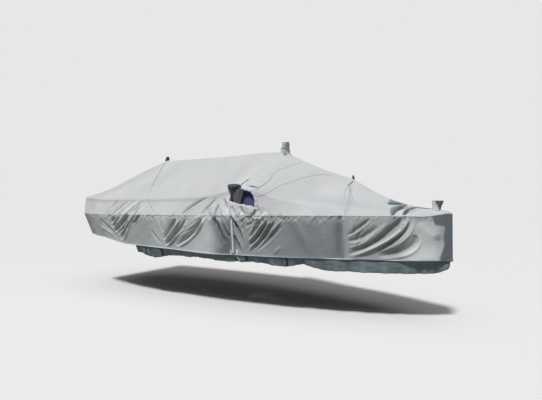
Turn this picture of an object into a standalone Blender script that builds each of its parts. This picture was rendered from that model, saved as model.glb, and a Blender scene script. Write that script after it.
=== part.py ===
"""Fitted cloth cover for an open keelboat, in the shape that it hangs in.

The cover is a tent whose ridge is held up from within, with a deep skirt on each side and a darker
band below the hem. It is hollow. +X points to the bow end, +Y to port and +Z up, in metres. The
origin lies on the underside of the ridge, STEM_X aft of the stem end.

A place on the cloth is given by aft, the metres behind the stem, and by level, which counts the
edge lines down one side: 0 ridge, 1 knuckle, 2 sheer seam, 3 hem, 4 foot of the band. Levels are
positive to starboard and negative to port.
"""
import bpy
import bmesh
import numpy as np

# Driving dimensions
LENGTH = 6.93            # stem to transom
STEM_X = 3.98            # the origin lies this far aft of the stem
RIDGE = 1.1327          # height of the ridge's underside there, above the sheer seam
CLOTH = 0.003            # thickness of one sheet
TAPE = 0.002             # thickness of straps and bindings
GAP = 0.0003             # air between two pieces that touch
SEAM_GAP = 0.0005        # the same, measured along the cloth, where folds run through a seam
LAP = 0.0008             # air under a strap or binding that lies on the cloth
FOOT_LAP = 0.001         # air under a collar's foot
SIDES_END = LENGTH - CLOTH / 2 - LAP   # roof and skirts stop here, just inside the transom panel
STARBOARD = 1
PORT = -1
SIDES = {"starboard": STARBOARD, "port": PORT}

# Cross sections: heights are above the sheer seam amidships, half widths are from the centreline.
SECTION_COLUMNS = ("aft", "ridge", "knuckle_half", "knuckle", "sheer_half", "sheer", "hem_half", "hem")
SECTIONS = (
    (-0.02, 0.085, 0.000, 0.083, 0.000, 0.081, 0.000, -0.615),
    (0.00, 0.086, 0.021, 0.080, 0.034, 0.066, 0.034, -0.615),
    (0.03, 0.092, 0.033, 0.081, 0.048, 0.062, 0.047, -0.615),
    (0.12, 0.108, 0.072, 0.080, 0.095, 0.050, 0.092, -0.615),
    (0.27, 0.128, 0.135, 0.070, 0.185, 0.010, 0.178, -0.614),
    (0.48, 0.162, 0.225, 0.072, 0.305, 0.018, 0.290, -0.614),
    (0.72, 0.220, 0.320, 0.078, 0.425, 0.022, 0.405, -0.614),
    (1.04, 0.360, 0.430, 0.105, 0.560, 0.022, 0.535, -0.612),
    (1.44, 0.610, 0.570, 0.155, 0.700, 0.020, 0.670, -0.612),
    (1.90, 0.765, 0.700, 0.200, 0.840, 0.016, 0.805, -0.614),
    (2.30, 0.935, 0.840, 0.310, 0.930, 0.012, 0.900, -0.616),
    (2.68, 1.125, 0.950, 0.430, 0.995, 0.008, 0.965, -0.617),
    (3.05, 1.148, 1.000, 0.455, 1.045, 0.006, 1.010, -0.620),
    (3.60, 1.138, 1.035, 0.330, 1.090, 0.002, 1.055, -0.625),
    (4.20, 1.132, 1.060, 0.305, 1.122, -0.004, 1.080, -0.600),
    (4.85, 1.133, 1.070, 0.300, 1.132, -0.008, 1.085, -0.575),
    (5.60, 1.137, 1.065, 0.298, 1.118, -0.010, 1.060, -0.560),
    (6.25, 0.950, 1.035, 0.305, 1.080, -0.018, 0.985, -0.470),
    (6.93, 0.722, 0.985, 0.350, 1.020, -0.004, 0.830, -0.420),
)

# How far the roof hangs below a straight line from ridge to knuckle.
SAG_COLUMNS = ("aft", "sag")
SAGS = (
    (0.00, 0.000),
    (0.90, 0.010),
    (1.50, 0.020),
    (2.40, 0.012),
    (3.20, 0.000),
    (4.30, 0.020),
    (5.60, 0.010),
    (6.93, 0.035),
)

# The darker band below the hem: how far its foot is drawn in, and its depth.
BAND_COLUMNS = ("aft", "inset", "drop")
BAND = (
    (-0.02, 0.000, 0.120),
    (0.00, 0.004, 0.125),
    (0.18, 0.022, 0.180),
    (0.60, 0.030, 0.190),
    (1.65, 0.040, 0.182),
    (1.95, 0.045, 0.100),
    (2.25, 0.045, 0.150),
    (2.75, 0.050, 0.098),
    (3.30, 0.055, 0.124),
    (3.70, 0.055, 0.086),
    (4.35, 0.060, 0.112),
    (4.85, 0.060, 0.205),
    (5.25, 0.060, 0.135),
)
BAND_END = 5.30          # the band stops here, short of the stern overhang

# Metres aft of the stem where each seam crosses the ridge, the knuckle and the sheer.
SEAMS = {
    "stem": (0.008, 0.008, 0.008),
    "forward": (1.44, 1.36, 1.34),
    "closure_fore": (2.61, 2.84, 3.035),
    "closure_aft": (2.75, 2.98, 3.095),
    "aft": (5.60, 5.01, 4.78),
    "transom": (SIDES_END, SIDES_END, SIDES_END),
}
CLOSURE_TOP = 0.07       # level at which the closing strips begin, beside the collar
STRIP_TOP = 1.5          # level at which the side strips begin, under the side openings

# Squares of the grids, along the cover and down each side
COLUMNS = {"nose": 2, "bow": 14, "fore": 12, "closure": 2, "main": 28, "aft": 16}
CROWD_BOW = 1.5          # columns lie closer together toward the stem
ROWS = {
    STARBOARD: {"roof": 8, "upper": 3, "skirt": 7, "band": 2},
    PORT: {"roof": 5, "upper": 2, "skirt": 4, "band": 1},
}

# Cloth lengths from one edge line to the next, down one side
RUN = {"roof": 1.25, "upper": 0.31, "skirt": 0.61}

# Main folds: a ridge (positive) or trough along a curve through three places. Down is the metres
# along the cloth below the sheer seam, negative above it.
FOLD_COLUMNS = ("aft_a", "down_a", "aft_b", "down_b", "aft_c", "down_c", "width", "height")
FOLDS = {
    STARBOARD: (
        (5.80, -0.28, 5.91, -0.19, 6.03, -0.10, 0.040, -0.012),
        (5.49, -0.26, 5.73, -0.12, 5.98, 0.02, 0.040, -0.012),
        (5.15, -0.28, 5.50, -0.06, 5.98, 0.36, 0.040, 0.016),
        (5.09, -0.23, 5.32, 0.02, 5.80, 0.48, 0.040, 0.020),
        (5.86, 0.04, 5.93, 0.11, 6.01, 0.20, 0.045, -0.024),
        (5.46, 0.00, 5.67, 0.17, 5.93, 0.41, 0.055, -0.038),
        (5.55, 0.26, 5.64, 0.40, 5.74, 0.55, 0.050, -0.026),
        (5.14, 0.01, 5.24, 0.10, 5.33, 0.19, 0.045, -0.024),
        (5.40, 0.16, 5.52, 0.36, 5.65, 0.58, 0.040, 0.018),
        (6.37, 0.11, 6.09, 0.34, 5.81, 0.53, 0.060, -0.014),
        (4.86, 0.27, 4.73, 0.40, 4.60, 0.53, 0.045, -0.012),
        (3.58, -0.28, 3.90, -0.15, 4.12, 0.01, 0.045, -0.022),
        (4.24, 0.06, 4.38, 0.23, 4.54, 0.45, 0.055, -0.036),
        (4.01, 0.05, 4.27, 0.32, 4.52, 0.55, 0.050, -0.034),
        (3.44, -0.22, 3.55, -0.13, 3.69, 0.00, 0.045, -0.016),
        (3.68, 0.04, 3.89, 0.29, 4.25, 0.53, 0.060, -0.044),
        (3.61, 0.03, 3.76, 0.22, 4.18, 0.55, 0.040, 0.024),
        (3.35, -0.12, 3.40, 0.00, 3.43, 0.20, 0.045, -0.024),
        (3.36, 0.07, 3.32, 0.25, 3.26, 0.43, 0.050, -0.030),
        (2.53, 0.09, 2.67, 0.28, 2.81, 0.47, 0.045, -0.022),
        (2.44, 0.08, 2.62, 0.31, 2.80, 0.53, 0.040, 0.018),
        (2.41, 0.12, 2.57, 0.32, 2.74, 0.52, 0.050, -0.026),
        (1.38, 0.08, 1.39, 0.29, 1.40, 0.50, 0.060, -0.020),
        (0.90, 0.15, 1.12, 0.30, 1.30, 0.35, 0.050, -0.022),
        (0.61, 0.02, 0.80, 0.26, 1.30, 0.54, 0.055, -0.042),
        (0.53, 0.01, 0.68, 0.26, 1.25, 0.58, 0.045, 0.030),
        (0.52, 0.08, 0.62, 0.27, 0.95, 0.50, 0.045, -0.028),
        (0.44, 0.25, 0.52, 0.44, 0.90, 0.55, 0.055, -0.030),
        (0.62, -0.62, 0.60, -0.40, 0.58, -0.15, 0.060, -0.018),
    ),
    PORT: (
        (5.80, -0.25, 5.65, 0.10, 5.85, 0.50, 0.070, -0.024),
        (5.20, 0.02, 5.45, 0.28, 5.70, 0.50, 0.070, -0.030),
        (4.20, 0.04, 4.40, 0.28, 4.55, 0.50, 0.070, -0.032),
        (3.66, -0.18, 3.85, 0.05, 4.20, 0.50, 0.070, -0.034),
        (3.36, 0.05, 3.34, 0.25, 3.32, 0.48, 0.060, -0.026),
        (2.40, 0.08, 2.60, 0.30, 2.80, 0.52, 0.060, -0.026),
        (0.66, 0.02, 0.85, 0.26, 1.30, 0.54, 0.060, -0.034),
        (0.48, 0.20, 0.58, 0.40, 0.95, 0.55, 0.060, -0.026),
    ),
}
FOLD_STEPS = 6           # straight steps in which a fold's curve is measured
SLOPE_REACH = 0.012      # half step, in metres and in levels, over which slopes are measured

# Openings for what comes up through the cover, as metres aft of the stem and heights above the sheer seam
MAST_AFT = 2.68
FORESTAY_AFT = 0.17
FORESTAY_HOLE = 0.024
OPENING_FORE = 2.68
OPENING_ARC_END = 2.93
OPENING_AFT = 3.20
OPENING_LOW = 0.16
OPENING_HIGH = 0.505

# Collars: radius at equal steps of the height, and the height of the top
MAST_COLLAR_RADII = (0.120, 0.102, 0.076, 0.064, 0.061, 0.060, 0.062)
MAST_COLLAR_TOP = 1.305
MAST_COLLAR_TIE = 3      # the tie goes round at this step of the radii
FORESTAY_COLLAR_RADII = (0.048, 0.036, 0.033, 0.044, 0.057, 0.072)
FORESTAY_COLLAR_TOP = 0.245
TIE_RADIUS = 0.004

# Lifting tabs on the ridge: each corner's metres aft and height above the roof
TAB_COLUMNS = ("aft", "above")
FORE_TAB = ((1.414, 0), (1.434, 0.060), (1.446, 0.060), (1.464, 0), (1.440, 0))
AFT_TAB = ((5.507, 0), (5.528, 0.075), (5.610, 0.082), (5.643, 0), (5.600, 0))
TAB_HALF = 0.008

# The sleeve in each side opening: height, centre aft, half sizes along and across, air to the wall
SLEEVE_COLUMNS = ("height", "aft", "long", "short", "clear")
SLEEVE = (
    (0.120, 3.035, 0.085, 0.050, 0.0022),
    (0.170, 3.037, 0.085, 0.050, 0.0022),
    (0.260, 3.048, 0.080, 0.048, -0.008),
    (0.350, 3.064, 0.072, 0.046, -0.026),
    (0.4255, 3.082, 0.065, 0.045, -0.040),
)
ROLL_TUBE = (0.026, 0.042)
BINDING_WIDTH = 0.030
BINDING_AIR = {STARBOARD: 0.0003, PORT: 0.0010}

# Straps that hang over the band: middle, first and last level, and width
HANGER_COLUMNS = ("aft", "level_a", "level_b", "width")
HANGERS = (
    (2.20, 3.06, 3.90, 0.030),
    (2.86, 3.06, 3.90, 0.030),
    (4.62, 3.06, 3.90, 0.035),
    (5.02, 3.06, 3.90, 0.035),
)
BUCKLES_AFT = (3.012, 3.122)
BUCKLE_SIZE = (0.036, 0.055, 0.006)


def table(rows, names):
    """Turn rows with named columns into one array for each name."""
    return {name: np.array([row[k] for row in rows]) for k, name in enumerate(names)}


SECTION = table(SECTIONS, SECTION_COLUMNS)
SAG = table(SAGS, SAG_COLUMNS)
FOOT = table(BAND, BAND_COLUMNS)


def across(name, aft):
    """One column of the section table at any station."""
    return np.interp(aft, SECTION["aft"], SECTION[name])


def down_of(level):
    """Metres along the cloth below the sheer seam, for a level of either side."""
    level = np.abs(level)
    above = np.where(level > 1, (level - 2) * RUN["upper"], -RUN["upper"] + (level - 1) * RUN["roof"])
    return np.where(level > 2, (level - 2) * RUN["skirt"], above)


def fold_height(side, aft, down):
    """Sum over one side's folds of height * exp(-(distance to the fold's curve / width)^2)."""
    total = np.zeros(aft.shape)
    for aft_a, down_a, aft_b, down_b, aft_c, down_c, width, height in FOLDS[side]:
        t = np.linspace(0, 1, FOLD_STEPS + 1)[:, None]
        a, b, c = np.array((aft_a, down_a)), np.array((aft_b, down_b)), np.array((aft_c, down_c))
        curve = a * (1 - t) * (1 - 2 * t) + b * 4 * t * (1 - t) + c * t * (2 * t - 1)
        nearest = np.full(aft.shape, np.inf)
        for start, end in zip(curve, curve[1:]):
            run = end - start
            along = ((aft - start[0]) * run[0] + (down - start[1]) * run[1]) / (run @ run)
            along = np.clip(along, 0, 1)
            away = np.hypot(aft - start[0] - along * run[0], down - start[1] - along * run[1])
            nearest = np.minimum(nearest, away)
        total += height * np.exp(-(nearest / width) ** 2)
    return total


def plain(aft, level):
    """The cover's middle surface without folds."""
    aft, level = np.broadcast_arrays(np.asarray(aft, float), np.asarray(level, float))
    at = {name: np.interp(aft, SECTION["aft"], SECTION[name]) for name in SECTION_COLUMNS}
    foot_half = np.maximum(at["hem_half"] - np.interp(aft, FOOT["aft"], FOOT["inset"]), 0)
    foot = at["hem"] - np.interp(aft, FOOT["aft"], FOOT["drop"])
    halves = (0 * aft, at["knuckle_half"], at["sheer_half"], at["hem_half"], foot_half)
    heights = (at["ridge"], at["knuckle"], at["sheer"], at["hem"], foot)
    depth = np.abs(level)
    span = np.minimum(depth.astype(int), 3)
    part = depth - span
    half = np.choose(span, halves[:4]) * (1 - part) + np.choose(span, halves[1:]) * part
    height = np.choose(span, heights[:4]) * (1 - part) + np.choose(span, heights[1:]) * part
    roof = np.clip(depth, 0, 1)
    height = height - 4 * roof * (1 - roof) * np.interp(aft, SAG["aft"], SAG["sag"])
    return np.stack((STEM_X - aft, -np.sign(level) * half, height - RIDGE), axis=-1)


def unit(vectors):
    """Vectors scaled to a length of one."""
    return vectors / np.linalg.norm(vectors, axis=-1, keepdims=True)


def slopes(aft, level):
    """Unit steps of the plain surface toward the stern and toward higher levels."""
    along = plain(aft + SLOPE_REACH, level) - plain(aft - SLOPE_REACH, level)
    around = plain(aft, level + SLOPE_REACH) - plain(aft, level - SLOPE_REACH)
    return unit(along), unit(around)


def outward(aft, level):
    """Unit normal of the plain surface, out of the cover. Folds and thickness lie along it."""
    return unit(np.cross(*slopes(aft, level)))


def skin(aft, level):
    """The cover's middle surface with its folds."""
    aft, level = np.broadcast_arrays(np.asarray(aft, float), np.asarray(level, float))
    down = down_of(level)
    starboard = fold_height(STARBOARD, aft, down)
    port = fold_height(PORT, aft, down)
    height = np.where(level > 0, starboard, port)
    return plain(aft, level) + outward(aft, level) * height[..., None]


def level_at(aft, height):
    """The level on roof or upper wall where the cover is this high above the sheer seam."""
    ridge, knuckle, sheer = (across(name, aft) for name in ("ridge", "knuckle", "sheer"))
    on_roof = (ridge - height) / (ridge - knuckle)
    return np.where(height > knuckle, on_roof, 1 + (knuckle - height) / (knuckle - sheer))


def material(name, colour, roughness, metallic=0.0):
    """A plain finish in the piece's own colour."""
    finish = bpy.data.materials.new(name)
    finish.use_nodes = True
    shader = finish.node_tree.nodes["Principled BSDF"]
    shader.inputs["Base Color"].default_value = (*colour, 1.0)
    shader.inputs["Roughness"].default_value = roughness
    shader.inputs["Metallic"].default_value = metallic
    finish.diffuse_color = (*colour, 1.0)
    return finish


def make_object(name, points, faces, finish):
    """One closed mesh object with its faces turned outward."""
    mesh = bpy.data.meshes.new(name)
    mesh.from_pydata([tuple(p) for p in points], [], faces)
    shape = bmesh.new()
    shape.from_mesh(mesh)
    bmesh.ops.recalc_face_normals(shape, faces=shape.faces)
    shape.to_mesh(mesh)
    shape.free()
    mesh.shade_smooth()
    mesh.set_sharp_from_angle(angle=0.7)
    mesh.materials.append(finish)
    piece = bpy.data.objects.new(name, mesh)
    bpy.context.scene.collection.objects.link(piece)
    return piece


def split_square(points, ring):
    """Two triangles of a square, cut along its shorter diagonal."""
    first = np.linalg.norm(points[ring[0]] - points[ring[2]])
    second = np.linalg.norm(points[ring[1]] - points[ring[3]])
    order = ((0, 1, 2), (0, 2, 3)) if first <= second else ((0, 1, 3), (1, 2, 3))
    return [tuple(ring[k] for k in corners) for corners in order]


def sheet(name, middle, out, finish, thick=CLOTH, closed=False, side=0):
    """A sheet of cloth: a grid of middle points, thickened both ways along its normals.

    Both faces are cut along the same diagonals, so they stay parallel. A closed sheet joins its
    last column to its first, as a tube does. A sheet of one side stops short of the centreline.
    """
    count, width = middle.shape[:2]
    points = np.concatenate([(middle + out * way * thick / 2).reshape(-1, 3) for way in (1, -1)])
    if side:
        points[:, 1] = -side * np.maximum(-side * points[:, 1], GAP / 2)
    under = count * width
    steps = count if closed else count - 1
    faces = []
    for i in range(steps):
        for j in range(width - 1):
            near = i * width + j
            far = (i + 1) % count * width + j
            for face in split_square(points, (near, far, far + 1, near + 1)):
                faces.append(face)
                faces.append(tuple(k + under for k in reversed(face)))
    rims = [(i * width + j, (i + 1) % count * width + j) for j in (0, width - 1) for i in range(steps)]
    if not closed:
        rims += [(i * width + j, i * width + j + 1) for i in (0, count - 1) for j in range(width - 1)]
    for a, b in rims:
        faces += [(a, b, b + under), (a, b + under, a + under)]
    return make_object(name, points, faces, finish)


def ring_body(name, centre, long, short, tube_wide, tube_tall, finish, turns=24, sides=8):
    """A closed ring round a vertical axis: an oval of half sizes long (X) and short (Y)."""
    turn = np.linspace(0, 2 * np.pi, turns, endpoint=False)[:, None]
    round_tube = np.linspace(0, 2 * np.pi, sides, endpoint=False)[None, :]
    normal = np.stack((np.cos(turn) / long, np.sin(turn) / short), axis=-1)
    normal = normal / np.linalg.norm(normal, axis=-1, keepdims=True)
    x = centre[0] + long * np.cos(turn) + normal[..., 0] * tube_wide * np.cos(round_tube)
    y = centre[1] + short * np.sin(turn) + normal[..., 1] * tube_wide * np.cos(round_tube)
    z = centre[2] + tube_tall * np.sin(round_tube) + 0 * turn
    points = np.stack((x, y, z), axis=-1).reshape(-1, 3)
    faces = []
    for i in range(turns):
        for j in range(sides):
            near, far, up = i * sides, (i + 1) % turns * sides, (j + 1) % sides
            faces += split_square(points, (near + j, far + j, far + up, near + up))
    return make_object(name, points, faces, finish)


def prism(name, ring, step, finish):
    """A ring of points drawn out along one step."""
    count = len(ring)
    ring = np.array(ring, float)
    points = np.concatenate((ring, ring + np.array(step)))
    faces = [tuple(range(count)), tuple(range(2 * count - 1, count - 1, -1))]
    faces += [(k, k + count, (k + 1) % count + count, (k + 1) % count) for k in range(count)]
    return make_object(name, points, faces, finish)


def cut(piece, cutter):
    """Cut a hidden shape out of a piece."""
    cutter.hide_render = True
    cutter.display_type = "WIRE"
    modifier = piece.modifiers.new("opening", "BOOLEAN")
    modifier.operation = "DIFFERENCE"
    modifier.solver = "EXACT"
    modifier.object = cutter


def side_levels(side, top, bottom):
    """The levels of one side's rows from one edge line down to another, signed for that side."""
    levels = [top]
    for start, name in enumerate(("roof", "upper", "skirt", "band")):
        count = ROWS[side][name]
        rows = [start + row / count for row in range(1, count + 1)]
        levels += [level for level in rows if top + 0.001 < level < bottom + 0.001]
    levels = np.array(levels)
    return levels if side == STARBOARD else -levels[::-1]


def columns(fore, aft, count, level, crowd=1.0):
    """Metres aft of the stem for a panel's columns, from one seam to the next, at each level."""
    share = np.linspace(0, 1, count + 1)[:, None] ** crowd
    start, end = (np.interp(np.abs(level), (0, 1, 2), SEAMS[seam]) for seam in (fore, aft))
    return start + (end - start) * share


def panel(name, aft, level, finish, side=0):
    """A sheet of the cover over the given columns and levels, half a gap inside its four seams."""
    aft, level = np.broadcast_arrays(aft, level)
    middle = skin(aft, level)
    along, around = slopes(aft, level)
    middle[0] += along[0] * SEAM_GAP / 2
    middle[-1] -= along[-1] * SEAM_GAP / 2
    middle[:, 0] += around[:, 0] * SEAM_GAP / 2
    middle[:, -1] -= around[:, -1] * SEAM_GAP / 2
    return sheet(name, middle, outward(aft, level), finish, side=side)


def lying_strip(name, aft, level, finish, thick=TAPE, lift=CLOTH / 2 + LAP):
    """A strip on the cover's outer face, over a grid of places; a negative lift lies inside it."""
    aft, level = np.broadcast_arrays(np.asarray(aft, float), np.asarray(level, float))
    out = outward(aft, level)
    lift = np.asarray(lift)[..., None]
    middle = skin(aft, level) + out * (lift + np.sign(lift) * thick / 2)
    return sheet(name, middle, out, finish, thick=thick)


def collar(name, aft, radii, top, finish, turns=24):
    """A round sleeve of cloth. Its first two rings lie on the roof and the rest rise to its top."""
    turn = np.linspace(0, 2 * np.pi, turns, endpoint=False)[:, None]
    radius = np.array(radii)[None, :]
    under_aft = aft - radius[:, :2] * np.cos(turn)
    level = -radius[:, :2] * np.sin(turn) / across("knuckle_half", under_aft)
    lying = skin(under_aft, level)[..., 2] + (CLOTH + FOOT_LAP) / outward(under_aft, level)[..., 2]
    share = np.linspace(0, 1, len(radii) - 1)[None, :]
    rising = lying[:, 1:] * (1 - share) + (top - RIDGE) * share
    height = np.concatenate((lying[:, :1], rising), axis=1)
    middle = np.stack((STEM_X - aft + radius * np.cos(turn), radius * np.sin(turn), height), axis=-1)
    around = np.roll(middle, -1, axis=0) - np.roll(middle, 1, axis=0)
    out = unit(np.cross(around, np.gradient(middle, axis=1)))
    return sheet(name, middle, out, finish, closed=True), middle


for old in list(bpy.data.objects):
    bpy.data.objects.remove(old, do_unlink=True)

CANVAS = material("canvas", (0.42, 0.44, 0.44), 0.8)
SKIRT_CANVAS = material("skirt_canvas", (0.30, 0.32, 0.33), 0.8)
BAND_CLOTH = material("band_cloth", (0.10, 0.13, 0.15), 0.75)
DARK_CLOTH = material("dark_cloth", (0.06, 0.07, 0.09), 0.8)
BLUE_CLOTH = material("blue_cloth", (0.07, 0.10, 0.22), 0.8)
WEBBING = material("webbing", (0.03, 0.03, 0.04), 0.7)
PALE_TAPE = material("pale_tape", (0.62, 0.65, 0.70), 0.6)
BUCKLE = material("buckle", (0.75, 0.76, 0.78), 0.4)

# Four roof panels, each from the port sheer seam over the ridge to the starboard one
ROOF_LEVELS = np.concatenate((side_levels(PORT, 0, 2), side_levels(STARBOARD, 0, 2)[1:]))
roof_places = {
    "bow": columns("stem", "forward", COLUMNS["bow"], ROOF_LEVELS, CROWD_BOW),
    "fore": columns("forward", "closure_fore", COLUMNS["fore"], ROOF_LEVELS),
    "main": columns("closure_aft", "aft", COLUMNS["main"], ROOF_LEVELS),
    "aft": columns("aft", "transom", COLUMNS["aft"], ROOF_LEVELS),
}
roof = {
    name: panel("roof_" + name, places, ROOF_LEVELS, CANVAS)
    for name, places in roof_places.items()
}

# Skirts, hull bands and closing strips on each side, on columns that meet the roof's
nose = np.linspace(SECTION["aft"][0], 0, COLUMNS["nose"] + 1)[:, None]
fore_columns = np.concatenate((
    nose,
    columns("stem", "forward", COLUMNS["bow"], 2, CROWD_BOW),
    columns("forward", "closure_fore", COLUMNS["fore"], 2)[1:],
))
aft_columns = np.concatenate((
    columns("closure_aft", "aft", COLUMNS["main"], 2),
    columns("aft", "transom", COLUMNS["aft"], 2)[1:],
))
strip_columns = columns("closure_fore", "closure_aft", COLUMNS["closure"], 2)
every_column = np.concatenate((fore_columns, strip_columns[1:-1], aft_columns))
band_columns = np.concatenate((every_column[every_column[:, 0] < BAND_END - 0.04], ((BAND_END,),)))
closure = {}
side_strip = {}
for word, side in SIDES.items():
    skirt_levels = side_levels(side, 2, 3)
    panel("skirt_fore_" + word, fore_columns, skirt_levels, SKIRT_CANVAS, side=side)
    panel("skirt_aft_" + word, aft_columns, skirt_levels, SKIRT_CANVAS)
    panel("hull_band_" + word, band_columns, side_levels(side, 3, 4), BAND_CLOTH, side=side)
    levels = side_levels(side, CLOSURE_TOP, 1)
    places = columns("closure_fore", "closure_aft", COLUMNS["closure"], levels)
    closure[side] = panel("closure_" + word, places, levels, CANVAS)
    levels = side_levels(side, STRIP_TOP, 3)
    places = columns("closure_fore", "closure_aft", COLUMNS["closure"], levels)
    side_strip[side] = panel("side_strip_" + word, places, levels, PALE_TAPE)

# The transom panel closes the stern; each row runs level from one side to the other
transom_levels = np.concatenate((np.linspace(0.05, 1, 5), np.linspace(1, 3, 7)[1:]))[None, :]
starboard_edge = skin(LENGTH, transom_levels) + outward(LENGTH, transom_levels) * CLOTH / 2
port_edge = starboard_edge * np.array((1, -1, 1))
share = np.linspace(0, 1, 9)[:, None, None]
transom = port_edge * (1 - share) + starboard_edge * share
transom[..., 0] = STEM_X - LENGTH
sheet("transom_panel", transom, np.array((-1.0, 0.0, 0.0)), CANVAS)

# The main collar over the hole between the roof panels, tied round, and the small bow collar
mast_collar, mast_wall = collar("mast_collar", MAST_AFT, MAST_COLLAR_RADII, MAST_COLLAR_TOP, CANVAS)
tie_radius = MAST_COLLAR_RADII[MAST_COLLAR_TIE] + CLOTH / 2 + 2 * GAP + TIE_RADIUS
tie_centre = (STEM_X - MAST_AFT, 0, mast_wall[:, MAST_COLLAR_TIE, 2].max())
ring_body("mast_collar_tie", tie_centre, tie_radius, tie_radius, TIE_RADIUS, TIE_RADIUS, WEBBING, sides=6)
collar("forestay_collar", FORESTAY_AFT, FORESTAY_COLLAR_RADII, FORESTAY_COLLAR_TOP, DARK_CLOTH, turns=16)
turn = np.linspace(0, 2 * np.pi, 16, endpoint=False)
circle = np.stack((np.cos(turn), np.sin(turn), 0 * turn), axis=-1) * FORESTAY_HOLE
circle += np.array((STEM_X - FORESTAY_AFT, 0, -RIDGE))
cut(roof["bow"], prism("forestay_drill", circle, (0, 0, 0.3), WEBBING))

# The two lifting tabs, pressed flat on the ridge
for name, corners in (("fore_tab", FORE_TAB), ("aft_tab", AFT_TAB)):
    aft, above = table(corners, TAB_COLUMNS).values()
    height = across("ridge", aft) + CLOTH / 2 + LAP + above - RIDGE
    corners = np.stack((STEM_X - aft, 0 * aft - TAB_HALF, height), axis=-1)
    prism(name, corners, (0, 2 * TAB_HALF, 0), WEBBING)

# The side openings with their sleeve, rolled edge, binding and inner flap
sleeve_table = table(SLEEVE, SLEEVE_COLUMNS)
turn = np.linspace(0, np.pi / 2, 7)
arc_aft = OPENING_ARC_END - (OPENING_ARC_END - OPENING_FORE) * np.cos(turn)
arc_height = OPENING_LOW + (OPENING_HIGH - OPENING_LOW) * np.sin(turn)
cut_aft = np.append(arc_aft, (OPENING_AFT, OPENING_AFT))
cut_height = np.append(arc_height, (OPENING_HIGH, OPENING_LOW))
for word, side in SIDES.items():
    ring = np.stack((STEM_X - cut_aft, 0 * cut_aft - side * 0.8, cut_height - RIDGE), axis=-1)
    knife = prism("shroud_knife_" + word, ring, (0, -side * 0.5, 0), WEBBING)
    for piece in (roof["fore"], roof["main"], closure[side], side_strip[side]):
        cut(piece, knife)

    # The sleeve rises from inside the wall and leans out to the roll on its top
    turn = np.linspace(0, 2 * np.pi, 24, endpoint=False)[:, None]
    height, aft, long, short, clear = (column[None, :] for column in sleeve_table.values())
    low, high = (across(name, aft[0, 0]) for name in ("sheer", "knuckle"))
    wide, narrow = (across(name, aft[0, 0]) for name in ("sheer_half", "knuckle_half"))
    centre_y = wide + (narrow - wide) * (height - low) / (high - low) - CLOTH - clear - short
    x = STEM_X - aft + long * np.cos(turn)
    y = -side * (centre_y + short * np.sin(turn))
    middle = np.stack((x, y, height - RIDGE + 0 * x), axis=-1)
    out = np.stack((np.cos(turn) / long, -side * np.sin(turn) / short, 0 * x), axis=-1)
    out = unit(out)
    sheet("shroud_sleeve_" + word, middle, out, DARK_CLOTH, closed=True)
    top = {name: column[-1] for name, column in sleeve_table.items()}
    roll_centre = (STEM_X - top["aft"], -side * centre_y[0, -1], top["height"] + GAP + ROLL_TUBE[1] - RIDGE)
    ring_body("shroud_roll_" + word, roll_centre, top["long"], top["short"], *ROLL_TUBE, DARK_CLOTH)

    # The pale binding lies on the wall along the opening's rounded fore edge
    turn = np.linspace(0.02, 0.68, 8)[:, None]
    out_by = np.linspace(0.004, BINDING_WIDTH, 3)[None, :]
    aft = OPENING_ARC_END - (OPENING_ARC_END - OPENING_FORE + out_by) * np.cos(turn)
    height = OPENING_LOW + (OPENING_HIGH - OPENING_LOW + out_by) * np.sin(turn)
    level = side * level_at(aft, height)
    lying_strip("shroud_binding_" + word, aft, level, PALE_TAPE, lift=CLOTH / 2 + BINDING_AIR[side])

    # The inner flap hangs behind the fore half of the opening from under the roof's edge
    aft = np.linspace(2.70, 2.94, 5)[:, None]
    share = np.linspace(0, 1, 7)[None, :]
    level = 0.86 + 0.84 * share
    lift = -(CLOTH / 2 + FOOT_LAP + 0.035 * np.sin(np.pi * np.clip(share * 1.6, 0, 0.5)) + 0 * aft)
    lying_strip("shroud_flap_" + word, aft, side * level, BLUE_CLOTH, lift=lift)

    # Straps over the band, and the buckles at the foot of the side strip
    for number, (aft, level_a, level_b, width) in enumerate(HANGERS, 1):
        places = np.linspace(aft - width / 2, aft + width / 2, 3)[:, None]
        levels = side * np.linspace(level_a, level_b, 5)[None, :]
        lying_strip("hanger_" + str(number) + "_" + word, places, levels, WEBBING)
    for number, aft in enumerate(BUCKLES_AFT, 1):
        places = np.array(((aft - BUCKLE_SIZE[0] / 2,), (aft + BUCKLE_SIZE[0] / 2,)))
        levels = side * np.array(((2.985 - BUCKLE_SIZE[1] / RUN["skirt"], 2.985),))
        lying_strip("buckle_" + str(number) + "_" + word, places, levels, BUCKLE, thick=BUCKLE_SIZE[2])
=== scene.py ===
import bmesh
import bpy
import numpy as np
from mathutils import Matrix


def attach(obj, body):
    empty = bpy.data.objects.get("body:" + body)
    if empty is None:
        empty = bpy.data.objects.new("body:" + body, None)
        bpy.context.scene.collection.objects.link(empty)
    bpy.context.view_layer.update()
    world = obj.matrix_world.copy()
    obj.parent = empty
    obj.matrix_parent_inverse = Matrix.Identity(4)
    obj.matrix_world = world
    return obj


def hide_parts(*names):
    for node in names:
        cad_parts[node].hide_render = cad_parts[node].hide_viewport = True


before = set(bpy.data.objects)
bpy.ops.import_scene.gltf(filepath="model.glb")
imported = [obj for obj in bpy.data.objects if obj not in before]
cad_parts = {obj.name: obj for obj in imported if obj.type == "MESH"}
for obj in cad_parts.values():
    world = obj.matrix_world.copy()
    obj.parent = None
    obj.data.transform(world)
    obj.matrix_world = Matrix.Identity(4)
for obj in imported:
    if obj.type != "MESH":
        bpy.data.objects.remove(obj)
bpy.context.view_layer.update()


# ---------------------------------------------------------------------------------------------
# The four roof panels. Coated polyester canvas, cut long and narrow and joined by lapped seams
# with two rows of stitching. They rise to a ridge like a tent and turn down over a soft knuckle
# to the sheer seam, where the skirts are sewn on.

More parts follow.
